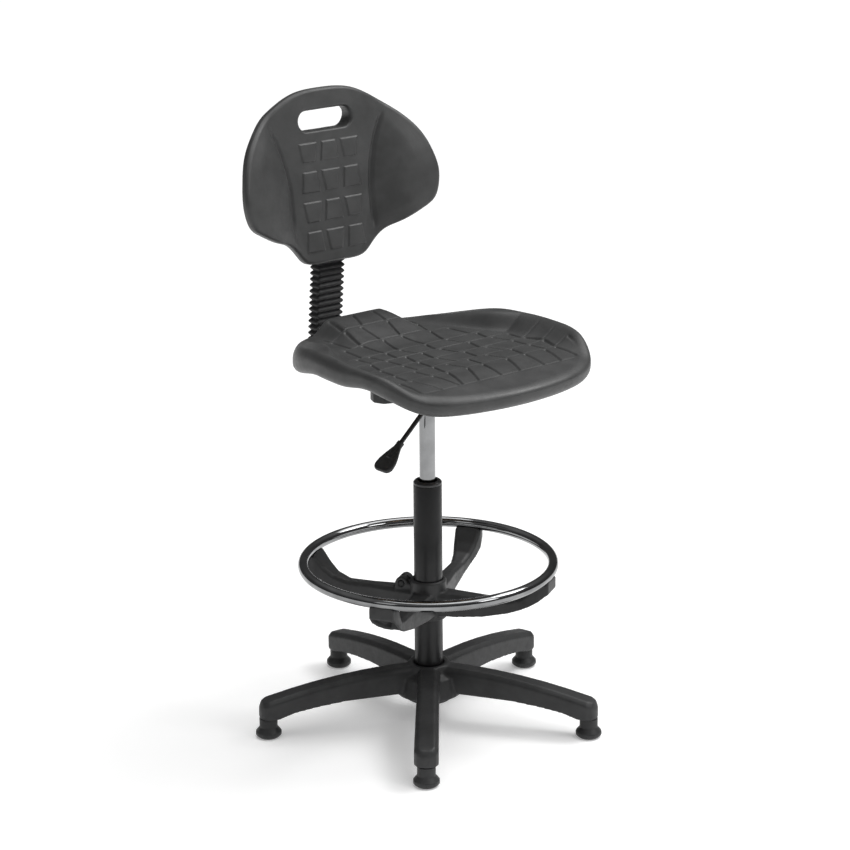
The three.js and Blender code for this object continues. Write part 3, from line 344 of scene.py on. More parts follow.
class Bench:
    """Lays out one material's nodes."""

    def __init__(self, name: str) -> None:
        """Starts a material of that name."""
        self.material = bpy.data.materials.new(name)
        self.material.use_nodes = True
        self.tree = self.material.node_tree
        self.shader = self.tree.nodes["Principled BSDF"]
        self.place = self.node("ShaderNodeTexCoord").outputs["Object"]

    def node(self, kind: str, **settings: object) -> bpy.types.Node:
        """Adds a node.

        Args:
            kind: the node's type.
            settings: its properties.

        Returns:
            The node.
        """
        made = self.tree.nodes.new(kind)
        for key, value in settings.items():
            setattr(made, key, value)
        return made

    def feed(self, target: bpy.types.NodeSocket, value: object) -> None:
        """Sets or links a socket.

        Args:
            target: the input socket.
            value: another node's output socket, or a plain value.
        """
        if isinstance(value, bpy.types.NodeSocket):
            self.tree.links.new(value, target)
        else:
            target.default_value = value

    def noise(
        self, size: float, detail: float = 3.0, stretch: tuple[float, float, float] = (1, 1, 1)
    ) -> bpy.types.NodeSocket:
        """Soft random patches.

        Args:
            size: size of a patch, in millimetres.
            detail: finer layers within it.
            stretch: how much denser it is along X, Y and Z.

        Returns:
            The patches, about PATCH_LOW to PATCH_HIGH.
        """
        spread = self.node("ShaderNodeMapping")
        self.feed(spread.inputs["Vector"], self.place)
        self.feed(spread.inputs["Scale"], stretch)
        patches = self.node("ShaderNodeTexNoise")
        self.feed(patches.inputs["Vector"], spread.outputs["Vector"])
        self.feed(patches.inputs["Scale"], 1000.0 / size)
        self.feed(patches.inputs["Detail"], detail)
        return patches.outputs["Fac"]

    def cells(self, size: float) -> bpy.types.NodeSocket:
        """Rounded pebbles of about that size in millimetres."""
        pebbles = self.node("ShaderNodeTexVoronoi", feature="SMOOTH_F1")
        self.feed(pebbles.inputs["Vector"], self.place)
        self.feed(pebbles.inputs["Scale"], 1000.0 / size)
        return pebbles.outputs["Distance"]

    def spread(
        self, value: bpy.types.NodeSocket, low: float, high: float, to_low: float, to_high: float
    ) -> bpy.types.NodeSocket:
        """Maps one range onto another.

        Args:
            value: what is mapped.
            low: start of its range.
            high: end of its range.
            to_low: what the start becomes.
            to_high: what the end becomes.

        Returns:
            The mapped value.
        """
        ranged = self.node("ShaderNodeMapRange")
        for socket, amount in zip(ranged.inputs, (value, low, high, to_low, to_high)):
            self.feed(socket, amount)
        return ranged.outputs["Result"]

    def blend(self, share: object, first: object, second: object) -> bpy.types.NodeSocket:
        """Mixes two colours.

        Args:
            share: how much of the second.
            first: the first colour.
            second: the second colour.

        Returns:
            The mixed colour.
        """
        both = self.node("ShaderNodeMix", data_type="RGBA")
        self.feed(both.inputs["Factor"], share)
        self.feed(both.inputs["A"], first)
        self.feed(both.inputs["B"], second)
        return both.outputs["Result"]

    def bump(
        self, height: bpy.types.NodeSocket, distance: float, under: Optional[bpy.types.NodeSocket] = None
    ) -> bpy.types.NodeSocket:
        """Raises the surface by a height.

        Args:
            height: the height, 0 to 1.
            distance: how much 1 stands up, in millimetres.
            under: a coarser bump below this one.

        Returns:
            The normal.
        """
        raised = self.node("ShaderNodeBump")
        self.feed(raised.inputs["Height"], height)
        self.feed(raised.inputs["Distance"], distance * MM)
        self.feed(raised.inputs["Strength"], 1.0)
        if under is not None:
            self.feed(raised.inputs["Normal"], under)
        return raised.outputs["Normal"]


@dataclass(frozen=True)
class Finish:
    """One finish of the chair, and how its surface is made.

    Colours are linear. Grain sizes and heights are millimetres. A paler colour is painted on convex edges,
    partly as edge wear and partly as a painted highlight.
    """

    name: str
    colour: tuple[float, float, float]
    worn_and_highlit: tuple[float, float, float]
    roughness: tuple[float, float]
    grain: Grain
    grain_size: float
    grain_height: float
    swell_height: float = 0.0
    metallic: float = 0.0
    specular: float = 0.5
    coat: float = 0.0
    slot: str = ""

    def material(self) -> bpy.types.Material:
        """The finish as a material, made once.

        Returns:
            The material.
        """
        ready = bpy.data.materials.get(f"{self.name}_finish")
        if ready:
            return ready
        bench = Bench(f"{self.name}_finish")
        shader = bench.shader
        patches = bench.noise(38, 4)
        deep = self.toned(0.78)
        pale = self.toned(1.2)
        base = bench.blend(bench.spread(patches, PATCH_LOW, PATCH_HIGH, 0.0, 1.0), deep, pale)
        # Convex edges, found by pointiness, are painted paler: partly edge wear, partly a painted highlight.
        edges = bench.node("ShaderNodeNewGeometry").outputs["Pointiness"]
        wear_and_highlight = bench.spread(edges, 0.52, 0.62, 0.0, 0.8)
        base = bench.blend(wear_and_highlight, base, self.worn_and_highlit + (1.0,))
        height, base = self.surface(bench, base)
        bench.feed(shader.inputs["Base Color"], base)
        rough = bench.spread(bench.noise(9, 5), PATCH_LOW, PATCH_HIGH, *self.roughness)
        bench.feed(shader.inputs["Roughness"], rough)
        under = bench.bump(bench.noise(55, 1), self.swell_height) if self.swell_height else None
        bench.feed(shader.inputs["Normal"], bench.bump(height, self.grain_height, under))
        bench.feed(shader.inputs["Metallic"], self.metallic)
        bench.feed(shader.inputs["Specular IOR Level"], self.specular)
        bench.feed(shader.inputs["Coat Weight"], self.coat)
        return bench.material

    def toned(self, factor: float) -> tuple[float, float, float, float]:
        """The finish's colour made lighter or darker by a factor."""
        return tuple(min(1.0, c * factor) for c in self.colour) + (1.0,)

    def surface(
        self, bench: Bench, base: bpy.types.NodeSocket
    ) -> tuple[bpy.types.NodeSocket, bpy.types.NodeSocket]:
        """The fine surface of the finish.

        Args:
            bench: where the nodes are laid.
            base: the colour so far.

        Returns:
            The grain's height and the colour with the grain in it.
        """
        if self.grain is Grain.PEBBLE:
            pebbles = bench.cells(self.grain_size)
            return bench.spread(pebbles, 0.0, 0.7, 1.0, 0.0), base
        if self.grain is Grain.DRAWN:
            return bench.noise(self.grain_size, 2, (1, 1, 0.06)), base
        if self.grain is Grain.PLIES:
            plies = bench.spread(bench.noise(3.0, 1, (0.02, 0.02, 1)), 0.35, 0.65, 0.0, 1.0)
            fibres = bench.noise(self.grain_size, 4, (0.05, 1, 1))
            dark = self.toned(0.55)
            streaked = bench.blend(bench.spread(fibres, 0.35, 0.7, 0.0, 0.5), base, dark)
            return fibres, bench.blend(bench.spread(plies, 0.4, 0.9, 0.0, 0.35), streaked, dark)
        return bench.noise(self.grain_size, 6), base


PU_SKIN = Finish(
    name="polyurethane_skin",
    colour=(0.046, 0.0465, 0.0465),
    worn_and_highlit=(0.056, 0.057, 0.057),
    roughness=(0.40, 0.50),
    grain=Grain.PEBBLE,
    grain_size=1.5,
    grain_height=0.05,
    swell_height=0.35,
    slot="pu_skin",
)
NYLON = Finish(
    name="moulded_nylon",
    colour=(0.030, 0.0304, 0.031),
    worn_and_highlit=(0.042, 0.043, 0.044),
    roughness=(0.42, 0.55),
    grain=Grain.SPARK,
    grain_size=0.8,
    grain_height=0.05,
    swell_height=0.15,
    specular=0.36,
    slot="nylon",
)
RUBBER = Finish(
    name="bellows_rubber",
    colour=(0.012, 0.012, 0.013),
    worn_and_highlit=(0.03, 0.03, 0.03),
    roughness=(0.55, 0.7),
    grain=Grain.SPARK,
    grain_size=1.2,
    grain_height=0.04,
    slot="bellows_rubber",
)
BLACK_STEEL = Finish(
    name="powder_coated_steel",
    colour=(0.008, 0.0082, 0.0085),
    worn_and_highlit=(0.03, 0.03, 0.032),
    roughness=(0.34, 0.46),
    grain=Grain.SPARK,
    grain_size=1.0,
    grain_height=0.03,
    specular=0.3,
    coat=0.04,
    slot="black_steel",
)
CHROME = Finish(
    name="chrome_plate",
    colour=(0.25, 0.253, 0.256),
    worn_and_highlit=(0.34, 0.343, 0.347),
    roughness=(0.05, 0.11),
    grain=Grain.SPARK,
    grain_size=14.0,
    grain_height=0.01,
    metallic=1.0,
    slot="chrome_plate",
)
ZINC = Finish(
    name="zinc_plated_steel",
    colour=(0.52, 0.53, 0.55),
    worn_and_highlit=(0.66, 0.66, 0.68),
    roughness=(0.28, 0.42),
    grain=Grain.DRAWN,
    grain_size=1.2,
    grain_height=0.02,
    metallic=1.0,
    slot="zinc_steel",
)
PLYWOOD = Finish(
    name="beech_plywood",
    colour=(0.46, 0.30, 0.17),
    worn_and_highlit=(0.52, 0.36, 0.22),
    roughness=(0.55, 0.7),
    grain=Grain.PLIES,
    grain_size=2.5,
    grain_height=0.06,
    slot="plywood",
)
ACETAL = Finish(
    name="black_acetal",
    colour=(0.02, 0.02, 0.021),
    worn_and_highlit=(0.04, 0.04, 0.042),
    roughness=(0.3, 0.4),
    grain=Grain.SPARK,
    grain_size=1.5,
    grain_height=0.02,
    slot="acetal",
)


def dress(piece: bpy.types.Object, finish: Finish, body: str) -> bpy.types.Object:
    """Gives a new piece its finish and its body.

    Args:
        piece: the piece.
        finish: its finish.
        body: the frame body that it rides on.

    Returns:
        The piece.
    """
    piece.data.materials.clear()
    piece.data.materials.append(finish.material())
    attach(piece, body)
    LOG.info("%s: %s, rides on %s, %d faces", piece.name, finish.name, body, len(piece.data.polygons))
    return piece


def dress_nodes(finish: Finish, *nodes: str) -> None:
    """Gives frame nodes that keep their shape a finish.

    Args:
        finish: the finish.
        nodes: the nodes.
    """
    for node in nodes:
        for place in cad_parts[node].material_slots:
            place.material = finish.material()
        LOG.info("%s: keeps its shape, %s", node, finish.name)


# ----------------------------------------------------------------- base, column


@dataclass
class StarBase:
    """The five-arm moulded base on its screwed-in glides."""

    arms: int = 5
    mesh_size: float = 1.7
    rounding: int = 9
    glide_edge: float = 1.4
    glide_turn: float = 20.0

    def build(self) -> None:
        """Makes the base, its glides and their studs."""
        dress(softened("star_base", "star_moulding", self.mesh_size, self.rounding), NYLON, "base")
        for k in range(1, self.arms + 1):
            dress(eased(f"glide_{k}", f"glide_foot_{k}", self.glide_edge, self.glide_turn), NYLON, "base")
            dress_nodes(ZINC, f"glide_stem_{k}")


@dataclass
class Column:
    """The outer tube, guide sleeve, gas spring and the parts that hold the piston rod."""

    tube_edge: float = 0.8
    sleeve_edge: float = 1.2
    sleeve_turn: float = 25.0

    def build(self) -> None:
        """Makes the column from the floor end up."""
        dress(eased("column_tube", "outer_tube", self.tube_edge, STEEL_TURN), BLACK_STEEL, "base")
        dress(eased("guide_sleeve", "sleeve", self.sleeve_edge, self.sleeve_turn), ACETAL, "base")
        dress(eased("gas_cylinder", "gas_spring", PIN_EDGE, STEEL_TURN), CHROME, "seat")
        dress_nodes(ZINC, "thrust_bearing", "piston_rod", "rod_clip", "valve_pin")
        dress_nodes(RUBBER, "bump_buffer")


@dataclass
class Footrest:
    """The chromed ring, its moulded four-arm carrier and the clamp."""

    ring_radius: float = 219.0
    tube_radius: float = 9.5
    around: int = 240
    across: int = 32
    carrier_mesh: float = 1.5
    carrier_rounding: int = 7

    def ring(self) -> bpy.types.Object:
        """Sweeps the ring's tube round the column.

        Returns:
            The ring.
        """
        low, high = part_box("footring")
        level = (low.z + high.z) / 2 / MM
        turn = np.linspace(0, 2 * pi, self.around, endpoint=False)
        tube = np.linspace(0, 2 * pi, self.across, endpoint=False)
        out = self.ring_radius + self.tube_radius * np.cos(tube)[None, :]
        loops = np.stack(
            [
                out * np.cos(turn)[:, None],
                out * np.sin(turn)[:, None],
                np.broadcast_to(level + self.tube_radius * np.sin(tube)[None, :], (self.around, self.across)),
            ],
            2,
        )
        piece = make_object("chromed_ring", to_frame(loops.reshape(-1, 3)), skin(loops, closed_path=True))
        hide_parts("footring")
        return piece

    def build(self) -> None:
        """Makes the footrest."""
        dress(self.ring(), CHROME, "footring")
        carrier = softened("ring_spider", "ring_carrier", self.carrier_mesh, self.carrier_rounding)
        dress(carrier, NYLON, "footring")
        dress_nodes(ZINC, *(f"ring_screw_{k}" for k in range(1, 5)))
        dress(eased("clamp_bolt", "clamp_screw", PIN_EDGE), BLACK_STEEL, "footring")
        dress(eased("clamp_nut", "clamp_hex_nut", FINE_EDGE), BLACK_STEEL, "footring")


# -------------------------------------------------------------------- mechanism


@dataclass
class TiltMechanism:
    """The pressed housing under the seat, with its pivot, springs and mounting plate."""

    housing_edge: float = 1.0

    def build(self) -> None:
        """Makes the mechanism."""
        dress(eased("mechanism_housing", "housing", self.housing_edge, STEEL_TURN), BLACK_STEEL, "seat")
        dress(eased("mount_plate", "plate", PRESSED_EDGE, STEEL_TURN), BLACK_STEEL, "seat")
        dress(eased("tilt_pin", "pivot_pin", FINE_EDGE), ZINC, "seat")
        dress_nodes(ZINC, "tilt_spring_left", "tilt_spring_right", *(f"seat_screw_{k}" for k in range(1, 5)))


@dataclass
class HeightLever:
    """The lever that works the gas spring, with its leaf-shaped paddle."""

    paddle_mesh: float = 0.7
    rounding: int = 6

    def build(self) -> None:
        """Makes the lever."""
        dress(eased("lever_rod", "lever_bar", PIN_EDGE, STEEL_TURN), BLACK_STEEL, "lever")
        dress(softened("lever_paddle", "lever_leaf", self.paddle_mesh, self.rounding), NYLON, "lever")
        dress_nodes(ZINC, "lever_pin", "lever_rocker")


# ---------------------------------------------------------------- back upright


@dataclass
class BackUpright:
    """The flat steel bar that carries the back, its guide, hand wheel and pleated bellows."""

    pleats: int = 15
    pleat_depth: float = 4.4
    wall: float = 1.2
    half_x: float = 30.0
    half_y: float = 14.5
    corner: float = 5.0
    collar: float = 6.0
    upright_low: tuple[float, float] = (285.0, 624.0)
    upright_high: tuple[float, float] = (271.0, 785.0)
    steps: int = 10
    bar_edge: float = 1.2
    knob_mesh: float = 0.8
    knob_rounding: int = 5

    def upright(self, height: float) -> float:
        """How far behind the column the bar stands at a height."""
        (y0, z0), (y1, z1) = self.upright_low, self.upright_high
        return y0 + (y1 - y0) * (height - z0) / (z1 - z0)

    def sleeve(self) -> bpy.types.Object:
        """Moulds the bellows, outside up and inside down.

        Returns:
            The bellows.
        """
        low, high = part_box("bellows")
        bottom, top = low.z / MM, high.z / MM
        stations = np.linspace(0, 1, self.pleats * self.steps + 1)
        swing = 0.5 - 0.5 * np.cos(stations * self.pleats * 2 * pi)
        inset = self.pleat_depth * (1 - swing**0.7)
        inset[0] = inset[-1] = self.pleat_depth * 0.7
        loops = []
        for skin_off, order in ((0.0, 1), (self.wall, -1)):
            for share, tuck in list(zip(stations, inset))[::order]:
                height = bottom + (top - bottom) * share
                back = skin_off + tuck
                corner = max(1.0, self.corner - 0.4 * back)
                ring = rounded_loop(self.half_x - back, self.half_y - back, corner, 6)
                level = np.full(len(ring), height)
                loops.append(np.column_stack([ring[:, 0], ring[:, 1] + self.upright(height), level]))
        stack = np.array(loops)
        piece = make_object("pleated_bellows", to_frame(stack.reshape(-1, 3)), skin(stack, closed_path=True))
        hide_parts("bellows")
        piece.data.materials.append(RUBBER.material())
        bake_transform(piece)
        LOG.info("pleated_bellows: %d pleats between strut and back", self.pleats)
        return piece

    def build(self) -> None:
        """Makes the upright."""
        dress(eased("back_guide", "bar_guide", PRESSED_EDGE, STEEL_TURN), BLACK_STEEL, "guide")
        dress(eased("back_strut", "flat_bar", self.bar_edge, STEEL_TURN), BLACK_STEEL, "strut")
        knob = softened("depth_knob", "depth_wheel", self.knob_mesh, self.knob_rounding)
        dress(knob, NYLON, "depth_knob")
        self.sleeve()


# ------------------------------------------------------------------------ pads


@dataclass(frozen=True)
class Tile:
    """One raised four-sided tile: where its sides stand at its far and near ends."""

    far: float
    near: float
    far_sides: tuple[float, float]
    near_sides: tuple[float, float]

    def depth(self, across: np.ndarray, along: np.ndarray) -> np.ndarray:
        """How far points are inside the tile.

        Args:
            across: places across the tile.
            along: places along it.

        Returns:
            Distance inside the nearest side, negative outside.
        """
        share = (self.far - along) / (self.far - self.near)
        inside = np.minimum(self.far - along, along - self.near)
        for side, sign in ((0, 1), (1, -1)):
            lean = (self.near_sides[side] - self.far_sides[side]) / (self.far - self.near)
            edge = self.far_sides[side] + (self.near_sides[side] - self.far_sides[side]) * share
            inside = np.minimum(inside, sign * (across - edge) / np.sqrt(1 + lean * lean))
        return inside


def deepest(tiles: Sequence[Tile], across: np.ndarray, along: np.ndarray) -> np.ndarray:
    """How far points are inside the nearest of several tiles.

    Args:
        tiles: the tiles.
        across: places across.
        along: places along.

    Returns:
        The greatest depth over all tiles.
    """
    best = np.full(across.shape, -1e3)
    for tile in tiles:
        best = np.maximum(best, tile.depth(across, along))
    return best


class Side(Enum):
    """The two faces of a pad."""

    FACE = "face"
    REAR = "rear"


def pad_stations(
    inner: int, roll: int, rear: int, face_to: float, rear_to: float
) -> list[tuple[Side, float, float]]:
    """Stations from the middle of a pad's face out over its rim and back in on its rear.

    Args:
        inner: stations across the open face.
        roll: stations over each half of the rim.
        rear: stations across the rear.
        face_to: share of the way out where the face starts to roll over.
        rear_to: share of the way out where the rear starts to roll over.

    Returns:
        For each station its side, its share of the way out, and how far the rim has turned, 0 to 1.
    """
    turns = np.linspace(0, pi / 2, roll)
    face = [(Side.FACE, float(s), 0.0) for s in np.linspace(0.012, face_to, inner)]
    over = [(Side.FACE, face_to + (1 - face_to) * sin(a), 1 - cos(a)) for a in turns[1:]]
    under = [(Side.REAR, rear_to + (1 - rear_to) * cos(a), 1 - sin(a)) for a in turns]
    home = [(Side.REAR, float(s), 0.0) for s in np.linspace(rear_to, 0.05, rear)[1:]]
    return face + over + under + home


@dataclass
class SeatPad:
    """The one-piece moulded seat: dished middle, raised rear tongue, side bolsters and a field of tiles.

    Each row gives its rear and front edges, then each groove's place across at those two edges. The crease is
    the foot of the bolsters: half its width at each place front to rear.
    """

    front: float = 262.0
    rear: float = 212.0
    half: float = 236.0
    dish: float = 678.0
    underside: float = 648.0
    lip: float = 21.0
    rim_level: float = 661.0
    rim_rise: float = 25.0
    rim_dip: float = 6.0
    bolster_rise: float = 28.5
    tongue_rise: float = 24.0
    waterfall: float = 12.0
    groove_depth: float = 3.0
    cross_depth: float = 0.8
    groove_half: float = 4.0
    seats: int = 760
    rolls: tuple[float, float] = (0.935, 0.93)
    wall: float = 5.0
    board_gap: float = 0.3
    board_drop: float = 0.5
    padding: float = 0.95
    crease_at: tuple[float, ...] = (-70, -52, -38, -15, 10, 50, 82, 115, 165, 212)
    crease_half: tuple[float, ...] = (262, 222, 198, 179, 164, 147, 130, 117, 109, 106)
    rows: tuple[tuple[float, float, tuple[tuple[float, float], ...]], ...] = (
        (203, 143, ((-104, -97), (-60, -68), (-5, -27), (38, 27), (104, 97))),
        (143, 86, ((-97, -96), (-66, -76), (-33, -32), (28, 12), (97, 74))),
        (86, 28, ((-113, -120), (-76, -70), (-28, -40), (12, 20), (78, 62), (118, 124))),
        (28, -11, ((-134, -128), (-108, -101), (-69, -75), (-40, -28), (18, 11), (65, 77), (135, 128))),
        (-11, -52, (
            (-170, -172), (-134, -146), (-100, -98), (-58, -67), (-22, -28), (17, 28), (84, 75), (134, 146),
            (171, 171),
        )),
        (-52, -92, (
            (-220, -223), (-174, -184), (-147, -148), (-99, -96), (-65, -67), (-25, -11), (37, 34), (84, 98),
            (147, 148), (174, 184), (220, 223),
        )),
        (-92, -132, (
            (-226, -214), (-184, -176), (-150, -153), (-108, -103), (-66, -71), (-39, -25), (10, 10),
            (50, 65), (108, 103), (150, 153), (184, 176), (226, 214),
        )),
        (-132, -197, (
            (-205, -190), (-173, -173), (-150, -131), (-103, -94), (-68, -88), (-25, -54), (8, -3), (63, 38),
            (103, 93), (150, 131), (173, 173), (205, 190),
        )),
    )  # fmt: skip

    def outline(self) -> np.ndarray:
        """The seat's outline in plan."""
        h = self.half
        points = (
            (0, -self.front), (0.52 * h, -244), (0.8 * h, -209), (0.93 * h, -162), (h, -70), (0.965 * h, 20),
            (0.9 * h, 88), (172, 152), (118.7, 200), (60.2, 211), (0, self.rear),
        )  # fmt: skip
        return rounded_outline(points, self.seats)

    def along_side(self, y: np.ndarray) -> np.ndarray:
        """How much of the bolster stands at Y, 0 to 1."""
        return ease(-210, -20, -y) * (1 - ease(140, 270, -y))

    def crease(self, y: np.ndarray) -> np.ndarray:
        """Half the width between the feet of the two bolsters at Y."""
        shifts = np.linspace(-14, 14, 9)
        return sum(np.interp(y + shift, self.crease_at, self.crease_half) for shift in shifts) / len(shifts)

    def top(self, x: np.ndarray, y: np.ndarray) -> np.ndarray:
        """The sitting surface without its tiles.

        Args:
            x: places across.
            y: places front to rear.

        Returns:
            Heights.
        """
        foot = np.minimum(self.crease(y) - 2, 172)
        steep = mix(34.0, 62.0, ease(-60, 90, -y))
        bolster = self.bolster_rise * ease(0, steep, np.abs(x) - foot) * self.along_side(y)
        tongue = self.tongue_rise * (1 - ease(55, 95, np.abs(x))) * ease(40, 190, y)
        return self.dish + bolster + tongue - self.waterfall * ease(150, self.front, -y)

    def rim(self, x: np.ndarray, y: np.ndarray) -> np.ndarray:
        """Height of the widest line of the rim."""
        rise = ease(-170, -20, -y) * (1 - ease(100, 240, -y))
        shoulder = ease(50, 120, -y) * (1 - ease(165, 235, -y)) * ease(120, 200, np.abs(x))
        dip = self.rim_dip * ease(110, 240, -y)
        return self.rim_level + self.rim_rise * rise - dip + self.rim_dip * shoulder

    def relief(self, x: np.ndarray, y: np.ndarray, share: float, reach: np.ndarray) -> np.ndarray:
        """How deep the grooves between the tiles are pressed.

        Args:
            x: places across.
            y: places front to rear.
            share: the station's share of the way out.
            reach: distance from the middle to the outline.

        Returns:
            Depths.
        """
        pressed = np.zeros(x.shape)
        for far, near, grooves in self.rows:
            ends = np.minimum(far - y, y - near)
            inside = ends > -2.6
            cross = self.cross_depth * (1 - ease(0.2, 2.6, np.abs(ends)))
            along = np.zeros(x.shape)
            for at_far, at_near in grooves:
                lean = (at_near - at_far) / (far - near)
                off = np.abs(x - at_far - lean * (far - y)) / np.sqrt(1 + lean * lean)
                along = np.maximum(along, 1 - ease(0.4, self.groove_half, off))
            stroke = self.groove_depth * along * ease(1.0, 6.0, ends)
            pressed = np.where(inside, np.maximum(pressed, np.maximum(cross, stroke)), pressed)
        border = np.minimum((0.93 - share) * reach, self.crease(y) - 6 - np.abs(x))
        return pressed * ease(0, 9, border)

    def moulding(self) -> bpy.types.Object:
        """Moulds the seat and cuts the recess for the board inside it.

        Returns:
            The seat.
        """
        outline = self.outline()
        reach = np.linalg.norm(outline, axis=1)
        loops = []
        for side, share, turned in pad_stations(150, 13, 34, self.rolls[0], self.rolls[1]):
            x, y = (outline * share).T
            rim = self.rim(*outline.T)
            if side is Side.FACE:
                height = mix(self.top(x, y) - self.relief(x, y, share, reach), rim, turned)
            else:
                flat = mix(self.underside, rim - self.lip, ease(0.7, 0.92, share))
                height = mix(flat, rim - self.wall, turned)
            loops.append(np.column_stack([x, y, height]))
        stack = np.array(loops)
        piece = make_object("seat_moulding", to_frame(stack.reshape(-1, 3)), skin(stack), MOULDED_TURN)
        board = copy_of("seat_insert", "board_cutter")
        middle = sum(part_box("seat_insert"), Vector()) / 2
        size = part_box("seat_insert")[1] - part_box("seat_insert")[0]
        grow = Matrix.Diagonal([1 + 2 * self.board_gap * MM / s for s in size]).to_4x4()
        lowered = Matrix.Translation(middle - Vector((0, 0, self.board_drop * MM)))
        board.data.transform(lowered @ grow @ Matrix.Translation(-middle))
        cut_away(piece, [board], MOULDED_TURN)
        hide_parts("seat_pad")
        return piece

    def build(self) -> None:
        """Makes the seat."""
        dress(self.moulding(), PU_SKIN, "seat")
        dress_nodes(PLYWOOD, "seat_insert")


@dataclass
class BackPad:
    """The moulded back: winged face, hand slot, three columns of tiles, and the board and bracket inside."""

    foot: tuple[float, float, float] = (0.0, 271.0, 785.0)
    lean: float = 5.94
    half: float = 215.0
    top: float = 308.0
    face_at: float = -28.0
    wing: float = 46.0
    wing_bulge: float = 3.5
    wing_fade: float = 0.55
    crease_depth: float = 3.0
    rolls: tuple[float, float] = (0.955, 0.93)
    fillet: float = 7.0
    wall: float = 6.0
    slot_level: float = 253.0
    slot_half: float = 58.0
    slot_radius: float = 18.0
    slot_lip: float = 5.0
    rear_lip: float = 4.0
    pocket_half: tuple[float, float] = (48.0, 68.0)
    pocket_corner: float = 5.0
    pocket_level: float = 60.0
    pocket_front: float = -16.0
    thickness: tuple[float, float] = (34.0, 20.0)
    padding: float = 0.95
    tile_rise: float = 2.2
    tile_bevel: float = 3.0
    columns: tuple[float, float, float] = (-44.0, 1.5, 47.0)
    row_levels: tuple[tuple[float, float], ...] = ((216, 181), (166, 128), (113, 76), (61, 23))
    wide: float = 21.0
    narrow: float = 14.0
    seats: int = 640
    knob_mesh: float = 0.8
    knob_rounding: int = 5

    def outline(self) -> np.ndarray:
        """The back's outline, seen square on."""
        h = self.half
        points = (
            (0, self.top), (60, 303), (112, 280), (160, 246), (0.89 * h, 211), (0.962 * h, 176), (h, 131),
            (0.945 * h, 89), (0.83 * h, 73), (142, 56), (106, 44), (86, 27), (68, 7), (54, 2), (0, 2),
        )  # fmt: skip
        return rounded_outline(points, self.seats)

    def crease(self, z: np.ndarray) -> np.ndarray:
        """Half the width of the flat middle at a height up the back."""
        return 88 + 40 * (np.maximum(0, z - 115) / 142) ** 2

    def face(self, x: np.ndarray, z: np.ndarray, share: float) -> np.ndarray:
        """Depth of the face without its tiles.

        Args:
            x: places across.
            z: places up the back.
            share: the station's share of the way out; the crease fades towards the rim.

        Returns:
            Depths, forward negative.
        """
        crease = self.crease(z)
        out = (np.abs(x) - crease) / (self.half - crease)
        soft = mix(0.02, 0.3, ease(0.62, 0.97, share))
        climb = np.where(np.abs(out) < soft, (out + soft) ** 2 / (4 * soft), np.maximum(out, 0))
        bulge = self.wing_bulge * np.sin(pi * np.clip(out, 0, 1)) ** 0.7 * (1 - ease(0.8, 0.99, share))
        from_crease = np.abs(np.abs(x) - crease)
        groove = self.crease_depth * (1 - ease(0, 6.5, from_crease)) * (1 - ease(0.8, 0.93, share))
        wing = self.wing * (1 - self.wing_fade * ease(130, 290, z))
        return self.face_at - wing * climb * (1.6 - 0.6 * climb) - bulge + groove

    def from_slot(self, x: np.ndarray, z: np.ndarray) -> np.ndarray:
        """Distance outside the edge of the hand slot."""
        straight = self.slot_half - self.slot_radius
        return np.hypot(np.maximum(np.abs(x) - straight, 0), z - self.slot_level) - self.slot_radius

    def lip(self, x: np.ndarray, z: np.ndarray, radius: float) -> np.ndarray:
        """How far the surface has rolled into the slot.

        Args:
            x: places across.
            z: places up the back.
            radius: radius of the roll.

        Returns:
            Depths, 0 away from the slot.
        """
        into = np.clip(radius - self.from_slot(x, z), 0, radius)
        return radius - np.sqrt(radius**2 - into**2)

    def tiles(self) -> list[Tile]:
        """The raised tiles, wide end up and wide end down by turns."""
        laid = []
        for row, (high, low) in enumerate(self.row_levels):
            for column, middle in enumerate(self.columns):
                wide_up = (row + column) % 2 == 0
                up, down = (self.wide, self.narrow) if wide_up else (self.narrow + 2, self.wide)
                laid.append(Tile(high, low, (middle - up, middle + up), (middle - down, middle + down)))
        return laid

    def stand(self, x: np.ndarray, depth: np.ndarray, z: np.ndarray) -> np.ndarray:
        """Sets points of the back's own frame on the chair.

        Args:
            x: places across.
            depth: places rearward.
            z: places up the back.

        Returns:
            Points in chair millimetres.
        """
        a = radians(self.lean)
        return np.column_stack(
            [x, self.foot[1] + z * sin(a) + depth * cos(a), self.foot[2] + z * cos(a) - depth * sin(a)]
        )

    def prism(self, name: str, outline: np.ndarray, front: float, rear: float) -> bpy.types.Object:
        """A straight cutter through the back.

        Args:
            name: the cutter's name.
            outline: its outline across and up.
            front: depth where it starts.
            rear: depth where it ends.

        Returns:
            The cutter.
        """
        x, z = outline.T
        loops = np.array([self.stand(x, np.full(len(x), depth), z) for depth in (front, rear)])
        return make_object(name, to_frame(loops.reshape(-1, 3)), skin(loops), 30)

